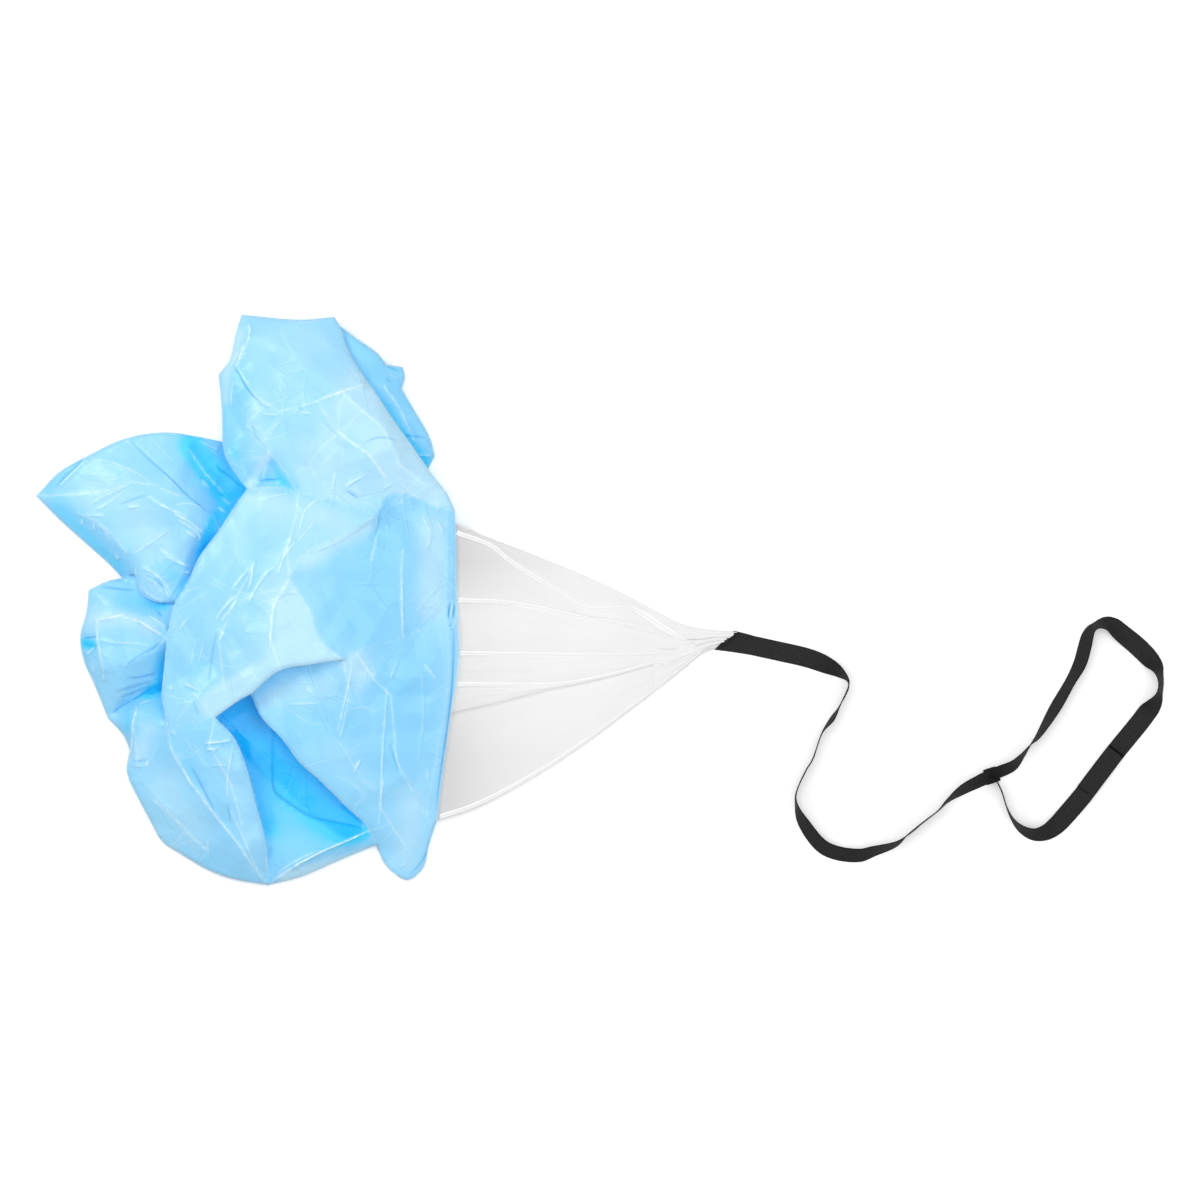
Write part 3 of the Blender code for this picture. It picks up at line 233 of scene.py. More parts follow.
def make_world():
    scene = bpy.context.scene
    scene.view_settings.view_transform = "Standard"
    world = bpy.data.worlds.new("studio")
    scene.world = world
    world.use_nodes = True
    tree = world.node_tree
    rays = tree.nodes.new("ShaderNodeLightPath").outputs
    seen = math_node(tree, "MAXIMUM", rays["Is Camera Ray"], rays["Is Transmission Ray"])
    shiny = math_node(tree, "MAXIMUM", seen, rays["Is Glossy Ray"])
    feed_all(tree, tree.nodes["Background"],
             {"Color": WHITE, "Strength": map_range(tree, shiny, to_low=WORLD_LEVEL)})


def make_floor():
    bpy.ops.object.select_all(action="DESELECT")
    bpy.ops.mesh.primitive_plane_add(size=FLOOR_SIZE, location=(0.0, 0.0, FLOOR_LEVEL))
    floor = bpy.context.object
    floor.name = "floor"
    bpy.ops.object.transform_apply(location=True, rotation=True, scale=True)
    material, tree, shader = new_material("pale_floor", FLOOR_GREY, 0.9, 0.1)
    seen = tree.nodes.new("ShaderNodeLightPath").outputs["Is Camera Ray"]
    feed_all(tree, shader, {"Base Color": mix_colours(tree, seen, FLOOR_GREY, WHITE),
                            "Emission Color": WHITE,
                            "Emission Strength": map_range(tree, seen, to_high=FLOOR_GLOW)})
    floor.data.materials.append(material)
    floor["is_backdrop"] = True


make_camera()
make_world()
make_floor()
for lamp_name, (lamp_place, lamp_size, lamp_power) in LAMPS.items():
    make_lamp(lamp_name, lamp_place, lamp_size, lamp_power)


# Materials
def new_group(name, inputs, outputs):
    # A node group that takes a place and the inputs, and gives the outputs as numbers
    group = bpy.data.node_groups.new(name, "ShaderNodeTree")
    for key, value in {"Place": None, **inputs}.items():
        kind = "NodeSocketFloat" if isinstance(value, float) else "NodeSocketVector"
        socket = group.interface.new_socket(key, in_out="INPUT", socket_type=kind)
        if value is not None:
            socket.default_value = value
    for key in outputs:
        group.interface.new_socket(key, in_out="OUTPUT", socket_type="NodeSocketFloat")
    start = group.nodes.new("NodeGroupInput")
    end = group.nodes.new("NodeGroupOutput")
    return group, start.outputs, end


def use_group(tree, group, place, inputs):
    node = tree.nodes.new("ShaderNodeGroup")
    node.node_tree = group
    return feed_all(tree, node, {"Place": place, **inputs}).outputs


def wave(tree, value, turn):
    return math_node(tree, "SINE", math_node(tree, "MULTIPLY", value, turn))


def plain_weave_group():
    # Warp and weft threads crossing over and under, from 0 to 1
    group, start, end = new_group("plain_weave", {"Threads per metre": 2000.0}, ["Height"])
    place = split_place(group, vector_node(group, "SCALE", {
        0: start["Place"], "Scale": start["Threads per metre"]}))
    product = math_node(group, "MULTIPLY", wave(group, place["X"], math.pi),
                        wave(group, place["Y"], math.pi))
    raised = math_node(group, "MULTIPLY_ADD", product, 0.5, 0.5)
    feed_all(group, end, {"Height": raised})
    return group


def rib_weave_group():
    # Webbing: chevron ribs across the strap, with flat woven edges
    group, start, end = new_group("rib_weave", {"Ribs per metre": 550.0, "Columns": 10.0},
                                  ["Height", "Edge"])
    place = split_place(group, start["Place"])
    column = math_node(group, "MULTIPLY", place["X"], start["Columns"])
    zigzag = math_node(group, "PINGPONG", column, 1.0)
    rows = math_node(group, "MULTIPLY", place["Y"], start["Ribs per metre"])
    ribs = wave(group, math_node(group, "ADD", rows, zigzag), 2 * math.pi)
    cords = math_node(group, "ABSOLUTE", wave(group, column, math.pi))
    total = math_node(group, "ADD", math_node(group, "MULTIPLY", cords, 0.5),
                      math_node(group, "MULTIPLY", ribs, 0.3))
    middle = math_node(group, "ABSOLUTE", math_node(group, "SUBTRACT", place["X"], 0.5))
    feed_all(group, end, {"Height": total,
                          "Edge": math_node(group, "GREATER_THAN", middle, 0.45)})
    return group


def in_patches(tree, lines, place, scale, low, high):
    # Lines that show only where a slow noise lets them
    here = map_range(tree, noise_node(tree, place, scale, 2.0), low, high)
    return math_node(tree, "MULTIPLY", lines, here)


def film_crumple_group():
    # Thin straight creases of crumpled film
    group, start, end = new_group("film_crumple", {
        "Scale": 30.0, "Stretch": (1.0, 1.0, 1.0), "Width": 0.06}, ["Height"])
    stretched = vector_node(group, "MULTIPLY", {0: start["Place"], 1: start["Stretch"]})
    cells = add_node(group, "TexVoronoi", {"Vector": stretched, "Scale": start["Scale"]})
    cells.feature = "DISTANCE_TO_EDGE"
    line = map_range(group, cells.outputs["Distance"], 0.0, start["Width"], 1.0, 0.0,
                     "SMOOTHSTEP")
    feed_all(group, end, {"Height": in_patches(group, line, start["Place"], 11.0, 0.48, 0.66)})
    return group


def film_lines_group():
    # Fine lines that wander along the film and fade in and out, used for painted crease
    # highlights
    group, start, end = new_group("film_lines", {"Turn": 0.6, "Scale": 12.0, "Width": 0.01},
                                  ["Lines"])
    turned = group.nodes.new("ShaderNodeVectorRotate")
    turned.rotation_type = "Z_AXIS"
    feed_all(group, turned, {"Vector": start["Place"], "Angle": start["Turn"]})
    turned = turned.outputs[0]
    stretched = vector_node(group, "MULTIPLY", {0: turned, 1: (1.0, 0.22, 0.5)})
    hills = noise_node(group, stretched, start["Scale"], 1.0)
    away = math_node(group, "ABSOLUTE", math_node(group, "SUBTRACT", hills, 0.5))
    line = map_range(group, away, 0.0, start["Width"], 1.0, 0.0)
    feed_all(group, end, {"Lines": in_patches(group, line, turned, 14.0, 0.46, 0.60)})
    return group


PLAIN_WEAVE = plain_weave_group()
FILM_LINES = film_lines_group()
RIB_WEAVE = rib_weave_group()
FILM_CRUMPLE = film_crumple_group()

# The film's colours, from one layer over the pale floor to many layers and to painted shade in
# hollows
CLOTH_LIGHT = (0.466, 0.777, 0.975)
CLOTH_MID = (0.242, 0.647, 0.975)
CLOTH_LOW = (0.052, 0.632, 0.985)
CLOTH_DEEP = (0.002, 0.507, 0.965)
HEM_LIGHT = (0.36, 0.71, 0.975)
# Painted highlight white and painted shadow blue for the crease lines
CREASE_HIGHLIGHT = (0.78, 0.97, 1.0)
CREASE_SHADOW = (0.0, 0.30, 0.76)
# Painted highlight lines along the material's own creases: turn, scale and width
FILM_CREASE_HIGHLIGHTS = ((0.9, 17.0, 0.012), (2.1, 14.0, 0.010))


def canopy_cloth(name, light):
    material, tree, shader = new_material(name, CLOTH_MID, 0.32, 0.40)
    place = coordinates(tree, "Object")
    patch = math_node(tree, "MULTIPLY_ADD", noise_node(tree, place, 7.0, 3.0), 0.24, -0.12)
    level = math_node(tree, "ADD", attribute(tree, "deep"), patch, clamp=True)
    ramp = add_node(tree, "ValToRGB", {"Fac": level})
    ramp.color_ramp.interpolation = "EASE"
    stops = ramp.color_ramp.elements
    stops[0].color = (*light, 1.0)
    stops[1].color = (*CLOTH_DEEP, 1.0)
    stops.new(0.40).color = (*CLOTH_MID, 1.0)
    stops.new(0.78).color = (*CLOTH_LOW, 1.0)
    # Painted highlights: pale lines along the film's creases, fainter where the blue is deep
    film = [use_group(tree, FILM_LINES, place, {"Turn": turn, "Scale": scale, "Width": width})
            for turn, scale, width in FILM_CREASE_HIGHLIGHTS]
    film = math_node(tree, "ADD", film[0]["Lines"], film[1]["Lines"])
    pale = math_node(tree, "SUBTRACT", 0.8, level, clamp=True)
    film = math_node(tree, "MULTIPLY", film, math_node(tree, "MULTIPLY", pale, 0.30))
    # Painted highlights along folds, wrinkles and edges from the crease attribute, broken by
    # noise; below zero it paints blue shadow lines
    crease = attribute(tree, "crease")
    broken = map_range(tree, noise_node(tree, place, 120.0, 2.0), 0.38, 0.62, 0.55, 1.25)
    lines = math_node(tree, "MULTIPLY", crease, broken)
    white = math_node(tree, "ADD", lines, film, clamp=True)
    creased = mix_colours(tree, white, ramp.outputs["Color"], CREASE_HIGHLIGHT)
    dark = math_node(tree, "MULTIPLY", crease, -0.9, clamp=True)
    coarse, fine = (use_group(tree, FILM_CRUMPLE, place, {
        "Scale": scale, "Stretch": stretch, "Width": width})["Height"]
        for scale, stretch, width in ((20.0, (1.0, 0.6, 1.0), 0.05),
                                      (46.0, (0.5, 1.0, 1.0), 0.08)))
    weave = use_group(tree, PLAIN_WEAVE, place, {"Threads per metre": 2600.0})["Height"]
    normal = None
    for height, distance, strength in ((coarse, 0.0012, 0.5), (fine, 0.0007, 0.45),
                                       (weave, 0.0001, 0.15)):
        normal = bump(tree, height, distance, strength, normal)
    feed_all(tree, shader, {"Base Color": mix_colours(tree, dark, creased, CREASE_SHADOW),
                            "Normal": normal})
    return material


def netting():
    material, tree, shader = new_material("white_netting", (0.90, 0.90, 0.90), 0.7)
    holes = use_group(tree, PLAIN_WEAVE, coordinates(tree, "UV"),
                      {"Threads per metre": 700.0})["Height"]
    clouds = noise_node(tree, coordinates(tree, "Object"), 16.0, 4.0)
    thread = mix_colours(tree, clouds, (0.86, 0.86, 0.86), (0.95, 0.95, 0.95))
    colour = mix_colours(tree, holes, (0.84, 0.84, 0.84), thread)
    # Painted shade: the shade attribute greys the net
    grey = math_node(tree, "MULTIPLY", attribute(tree, "shade"), 0.75, clamp=True)
    feed_all(tree, shader, {"Base Color": mix_colours(tree, grey, colour, (0.58, 0.58, 0.585)),
                            "Normal": bump(tree, holes, 0.0003, 0.5)})
    return material


def seam_tape():
    # Thin tape: light along its edges, nearly the net's own grey between them
    material, tree, shader = new_material("white_seam_tape", (0.93, 0.93, 0.93), 0.6)
    place = coordinates(tree, "UV")
    weave = use_group(tree, PLAIN_WEAVE, place, {"Threads per metre": 1500.0})["Height"]
    away = math_node(tree, "ABSOLUTE", split_place(tree, place)["X"])
    edge = map_range(tree, away, 0.0010, 0.0020)
    middle = mix_colours(tree, weave, (0.80, 0.80, 0.80), (0.87, 0.87, 0.87))
    feed_all(tree, shader, {"Base Color": mix_colours(tree, edge, middle, (0.98, 0.98, 0.98)),
                            "Normal": bump(tree, weave, 0.0002, 0.4)})
    return material


def black_webbing():
    material, tree, shader = new_material("black_webbing", (0.02, 0.02, 0.02), 0.62, 0.2)
    weave = use_group(tree, RIB_WEAVE, coordinates(tree, "UV"), {})
    place = coordinates(tree, "Object")
    base = mix_colours(tree, noise_node(tree, place, 40.0, 4.0),
                       (0.002, 0.002, 0.0023), (0.007, 0.007, 0.0075))
    specks = map_range(tree, noise_node(tree, place, 380.0, 1.0), 0.38, 0.68)
    base = mix_colours(tree, specks, base, (0.016, 0.016, 0.017))
    ribbed = mix_colours(tree, weave["Height"], base, (0.012, 0.012, 0.0125))
    feed_all(tree, shader, {
        "Base Color": mix_colours(tree, weave["Edge"], ribbed, (0.003, 0.003, 0.0035)),
        "Normal": bump(tree, weave["Height"], 0.0005, 0.6)})
    return material


def pile_material(name, scale):
    material, tree, shader = new_material(name, (0.02, 0.02, 0.02), 0.9)
    fuzz = noise_node(tree, coordinates(tree, "Object"), scale, 5.0)
    colour = mix_colours(tree, fuzz, (0.010, 0.010, 0.010), (0.05, 0.05, 0.05))
    feed_all(tree, shader, {"Base Color": colour, "Normal": bump(tree, fuzz, 0.001, 0.8)})
    return material


CANOPY_CLOTH = canopy_cloth("canopy_cloth", CLOTH_LIGHT)
HEM_CLOTH = canopy_cloth("hem_cloth", HEM_LIGHT)
NETTING = netting()
SEAM_TAPE = seam_tape()
WEBBING = black_webbing()
# Near-black for the strips that paint shadow lines at the tab
SHADOW_LINE_BLACK = new_material("painted_shadow_black", (0.0010, 0.0010, 0.0010), 0.95, 0.05)[0]
LOOP_PILE = pile_material("loop_pile", 1500.0)
HOOK_PILE = pile_material("hook_pile", 900.0)


# Meshes
def add_values(mesh, name, values):
    layer = mesh.attributes.new(name, "FLOAT", "POINT")
    layer.data.foreach_set("value", np.array(values, dtype=np.float32))


def add_piece(name, verts, faces, materials, uvs=None):
    mesh = bpy.data.meshes.new(name)
    mesh.from_pydata([tuple(v) for v in verts], [], [tuple(f) for f in faces])
    for material in materials:
        mesh.materials.append(material)
    if uvs is not None:
        layer = mesh.uv_layers.new(name="UVMap")
        index = np.empty(len(mesh.loops), dtype=np.int32)
        mesh.loops.foreach_get("vertex_index", index)
        layer.data.foreach_set("uv", np.asarray(uvs, dtype=np.float32)[index].ravel())
    mesh.shade_smooth()
    piece = place_object(name, mesh)
    return piece


FOLD_ANGLE = math.radians(58)
WELD = 0.0002


def weld_and_face(piece):
    # Doubled vertices become one, faces look outwards and sharp folds stay sharp
    work = bmesh.new()
    work.from_mesh(piece.data)
    bmesh.ops.remove_doubles(work, verts=work.verts[:], dist=WELD)
    bmesh.ops.recalc_face_normals(work, faces=work.faces[:])
    up = sum(face.normal.z * face.calc_area() for face in work.faces)
    if up < 0:
        bmesh.ops.reverse_faces(work, faces=work.faces[:])
    for edge in work.edges:
        if len(edge.link_faces) == 2 and edge.calc_face_angle(0.0) > FOLD_ANGLE:
            edge.smooth = False
    work.to_mesh(piece.data)
    work.free()


def grid_faces(rows, width):
    # Quads between rows of places that follow one another
    return [(a, a + width, a + width + 1, a + 1)
            for i in range(rows) for a in range(i * width, (i + 1) * width - 1)]


def tube_faces(steps, count):
    # Quads round a section of count places that is carried on, with both ends closed
    faces = []
    for start in range(0, steps * count, count):
        for k in range(count):
            a, b = start + k, start + (k + 1) % count
            faces.append((a, b, b + count, a + count))
    last = steps * count
    return faces + [tuple(range(count))[::-1], tuple(range(last, last + count))]


# Canopy: where its folds meet, by pixel in the photograph
PLACES = pixel_table("""
    crown_left 242,315 crown_mid 303,320 crown_right 335,317 crown_notch 340,326
    back_edge_1..10 360,341 377,353 387,365 403,367 405,378 402,389 413,408 430,438 435,456
    428,469 shoulder 447,493 rim_top 455,511 rim_1..2 456,532 457,600 rim_seam 458,624
    rim_3..7 458.7,653 456,684 451,712 443,770 437,820 tongue_edge_1..6 429,845 423,868 408,880
    395,874 383,861 378,847 notch 376,845 front_edge_2..3 340,860 300,877 bottom 268,885
    low_edge_1..6 230,878 207,869 180,853 163,842 150,820 130,782 side_edge_1..4 127,770 130,750
    124,736 108,718 puff_edge_1..6 94,683 84,660 80.5,637 87,611 89,590 108,581
    left_notch 122.5,578 left_edge_1..3 108,563 90,547 60,520 left_tip 36.2,496
    left_edge_4..9 60,472 90,455 125,439 165,432.5 200,437 223,442 crown_edge_1..4 222,407
    219,375 230,360 236,335 back_1..5 347,348 360,371 375,392 390,415 410,443
    pocket_1..2 226,456 242,482 centre 248,489 mid_1..8 272,487 299,493 325,498 350,505 376,516
    387,495 403,492 425,501 left_1..5 237,504 220,530 200,557 187,585 176,602 bump_1..3 157,602
    143,594 134,574 side_1..6 171,619 167.5,639 165,665 162,694 166,717 168,727 valley 133,701
    low_1..2 157,748 145,770 join 192,723 mouth_1..5 216,717 235,738 247,767 258,810 266,843
    lip_1..5 240,700 251,694 281,670 312,664 344,659 ridge_1..5 322,642 310,610 290,578 308,552
    340,538 flap_1..6 262,717 282,738 300,762 320,780 345,805 370,830 seam_1..3 356,651 403,638
    425,628 hem_top 448,510 hem_1..2 448,532 447,600 hem_seam 447,624 hem_3..7 450,653 449,684
    444,715 435,773 430,818
""")

# Lines of the lay, each a chain of places, with the corners that stay sharp
OUTER_CHAIN = list(PLACES)[:list(PLACES).index("back_1")]
CHAINS = [OUTER_CHAIN + OUTER_CHAIN[:3]] + [names_of(text) for text in (
    "crown_notch back_1..5 back_edge_10",
    "left_edge_9 pocket_1..2 centre",
    "centre mid_1..5",
    "mid_5..8 hem_top",
    "centre left_1..5 side_1..6",
    "left_5 bump_1..3 left_notch",
    "side_4 valley side_edge_4",
    "side_6 low_1..2 low_edge_6",
    "side_6 join mouth_1",
    "mouth_1..5 bottom",
    "mouth_1 lip_1..5",
    "lip_5 ridge_1..5 mid_5",
    "lip_5 seam_1..3 hem_seam",
    "lip_2 flap_1..6 notch",
    "rim_top hem_top hem_1..2 hem_seam hem_3..7 rim_7",
    "hem_seam rim_seam",
)]
SHARP = set(names_of("""
    crown_left crown_right crown_notch back_edge_3..4 back_edge_6 back_edge_9..10 shoulder notch
    bottom low_edge_6 side_edge_2 side_edge_4 left_notch left_tip left_edge_9 centre mid_5
    ridge_3 lip_5 mouth_1 side_6 side_4 left_5 lip_2 rim_top rim_7 hem_seam hem_top puff_edge_5
    crown_edge_2 rim_seam tongue_edge_6 mid_6
"""))

# Lobes: outline with heights, points inside, which are called a, b, c and so on,
# and fold lines. A height is a share of the heap, as in the CAD.
LOBES = {
    "crown": {
        "outline": """
            crown_left .40 crown_mid .50 crown_right .38 crown_notch .40 back_1..5 .48 .56 .64
            .68 .62 back_edge_10 .48 shoulder .42 rim_top .36 hem_top .38 mid_8..1 .50 .60 .66
            .72 .72 .72 .68 .58 centre .54 pocket_2..1 .54 .50 left_edge_9 .42
            crown_edge_1..4 .38 .32 .38 .40
        """,
        "inner": """
            250,338,.58 238,367,.52 258,401,.66 280,412,.74 318,402,.84 342,392,.86 366,385,.74
            300,360,.72 239,429,.56 270,452,.78 285,470,.74 263,480,.46 346,438,.78 370,456,.82
            387,478,.70 385,430,.90 400,465,.76 425,485,.56 319,449,.86 250,466,.56 258,440,.66
        """,
        "folds": "a-b-c-d-e-f-g e-m-n-o f-p-q-r j-k-mid_2 j-l-centre",
    },
    "back": {
        "outline": """
            crown_notch .28 back_edge_1..10 .30 .28 .22 .18 .18 .24 .24 .20 .16 .12
            back_5..1 .24 .34 .38 .38 .34
        """,
        "inner": """
            385,386,.38 400,409,.34 414,440,.28
        """,
        "folds": "a-b-c",
    },
    "left": {
        "outline": """
            left_tip .10 left_edge_4..9 .24 .34 .42 .46 .34 .18 pocket_1..2 .12 .10 centre .12
            left_1..5 .16 .28 .24 .36 .42 bump_1..3 .40 .38 .34 left_notch .12
            left_edge_1..3 .12 .12 .12
        """,
        "inner": """
            77,512,.36 97,521,.44 111,532,.48 127,552,.48 85,494,.42 110,490,.52 133,482,.58
            158,486,.58 105,460,.46 140,473,.56 150,460,.50 173,482,.54 195,502,.52 190,450,.42
            205,473,.22 222,492,.12 150,497,.62 173,511,.62 192,523,.56 203,532,.44 160,548,.54
            185,565,.46 150,575,.56 160,590,.50
        """,
        "folds": "left_tip-e-f-g-h left_edge_6-k-l-m a-b-c-d q-r-s-t u-v n-o-p",
    },
    "puff": {
        "outline": """
            left_notch .10 bump_3..1 .18 .22 .24 left_5 .30 side_1..4 .36 .42 .24 .10 valley .12
            side_edge_4 .08 puff_edge_1..6 .16 .14 .14 .18 .16 .14
        """,
        "inner": """
            97,620,.40 122,616,.50 140,621,.54 153,629,.54 112,600,.36 140,604,.30 98,640,.40
            120,643,.52 104,668,.40 125,665,.50 150,651,.46 120,690,.38 145,676,.32
        """,
        "folds": "a-b-c-d-side_2 a-g-i j-k-side_2",
    },
    "side": {
        "outline": """
            side_edge_4 .08 valley .12 side_4..6 .16 .36 .44 low_1..2 .34 .24 low_edge_6 .12
            side_edge_1..3 .14 .14 .12
        """,
        "inner": """
            137,707,.34 134,727,.32 138,762,.24 152,715,.36 146,742,.32
        """,
        "folds": "a-b-c",
    },
    "lower": {
        "outline": """
            low_edge_6 .12 low_2..1 .28 .40 side_6 .48 join .62 mouth_1..5 .68 .66 .60 .50 .34
            bottom .10 low_edge_1..5 .12 .13 .13 .12 .12
        """,
        "inner": """
            173,753,.56 193,785,.54 218,818,.48 243,850,.38 258,872,.22 155,800,.30 180,823,.32
            207,850,.26 210,745,.70 232,785,.60 243,825,.48 165,775,.40
        """,
        "folds": "side_6-a-b-c-d-e-bottom mouth_1-i-j-k f-g-h",
    },
    "front": {
        "outline": """
            centre .62 mid_1..5 .66 .72 .76 .76 .78 ridge_5..1 .86 .90 .94 .92 .90 lip_5..1 .86
            .92 .94 .86 .80 mouth_1 .70 join .62 side_6..1 .50 .50 .48 .50 .50 .52 left_5..1 .54
            .54 .56 .58 .60
        """,
        "inner": """
            275,608,.92 271,638,.94 297,515,.80 288,547,.88 252,570,.80 236,600,.76 220,640,.70
            225,690,.74 200,600,.62 195,650,.62 192,690,.62 252,615,.82 245,660,.84 240,530,.68
            265,520,.74
        """,
        "folds": "ridge_3-a-b-lip_3 mid_2-c-d-ridge_3 e-f-g-h",
    },
    "rim": {
        "outline": """
            mid_5..8 .74 .66 .60 .50 hem_top .37 hem_1..2 .36 .38 hem_seam .40 seam_3..1 .46 .58
            .74 lip_5 .84 ridge_1..5 .88 .90 .92 .88 .84
        """,
        "inner": """
            340,575,.82 372,560,.72 378,530,.62 403,550,.62 402,597,.60 430,535,.48 428,580,.48
            360,612,.76 400,520,.54
        """,
        "folds": "d-e-seam_2 mid_5-c-b",
    },
    "mouth": {
        "outline": """
            lip_5 .76 seam_1..3 .74 .56 .44 hem_seam .39 hem_3..7 .36 .34 .32 .26 .20 rim_7 .18
            tongue_edge_1..6 .14 .10 .08 .08 .09 .10 notch .12 flap_6..1 .26 .42 .50 .55 .58 .56
            lip_2..4 .50 .60 .68
        """,
        "inner": """
            375,680,.62 350,692,.70 341,735,.62 300,700,.60 312,732,.60 391,695,.54 397,760,.46
            360,757,.54 383,780,.44 380,807,.34 405,845,.18 437,680,.40 424,663,.48 422,720,.42
            412,790,.32
        """,
        "folds": "seam_1-a-f-g-o lip_5-b-c i-j-k",
    },
    "inside": {
        "outline": """
            mouth_1 .16 lip_1..2 .18 .20 flap_1..6 .10 .07 .06 .06 .08 .22 notch .12
            front_edge_2..3 .10 .10 bottom .09 mouth_5..2 .18 .10 .07 .08
        """,
        "inner": """
            272,750,.06 272,790,.06 312,818,.10 330,800,.07 297,865,.24 323,851,.26 347,841,.26
            300,840,.16
        """,
        "folds": "bottom-e-f-g-flap_6",
    },
    "hem_upper": {
        "outline": """
            hem_top .39 rim_top .34 rim_1..2 .31 .32 rim_seam .33 hem_seam .41 hem_2..1 .40 .38
        """,
        "inner": "",
        "folds": "",
    },
    "hem_lower": {
        "outline": """
            hem_seam .41 rim_seam .34 rim_3..7 .32 .30 .28 .22 .17 hem_7..3 .22 .28 .34 .36 .38
        """,
        "inner": "",
        "folds": "",
    },
}

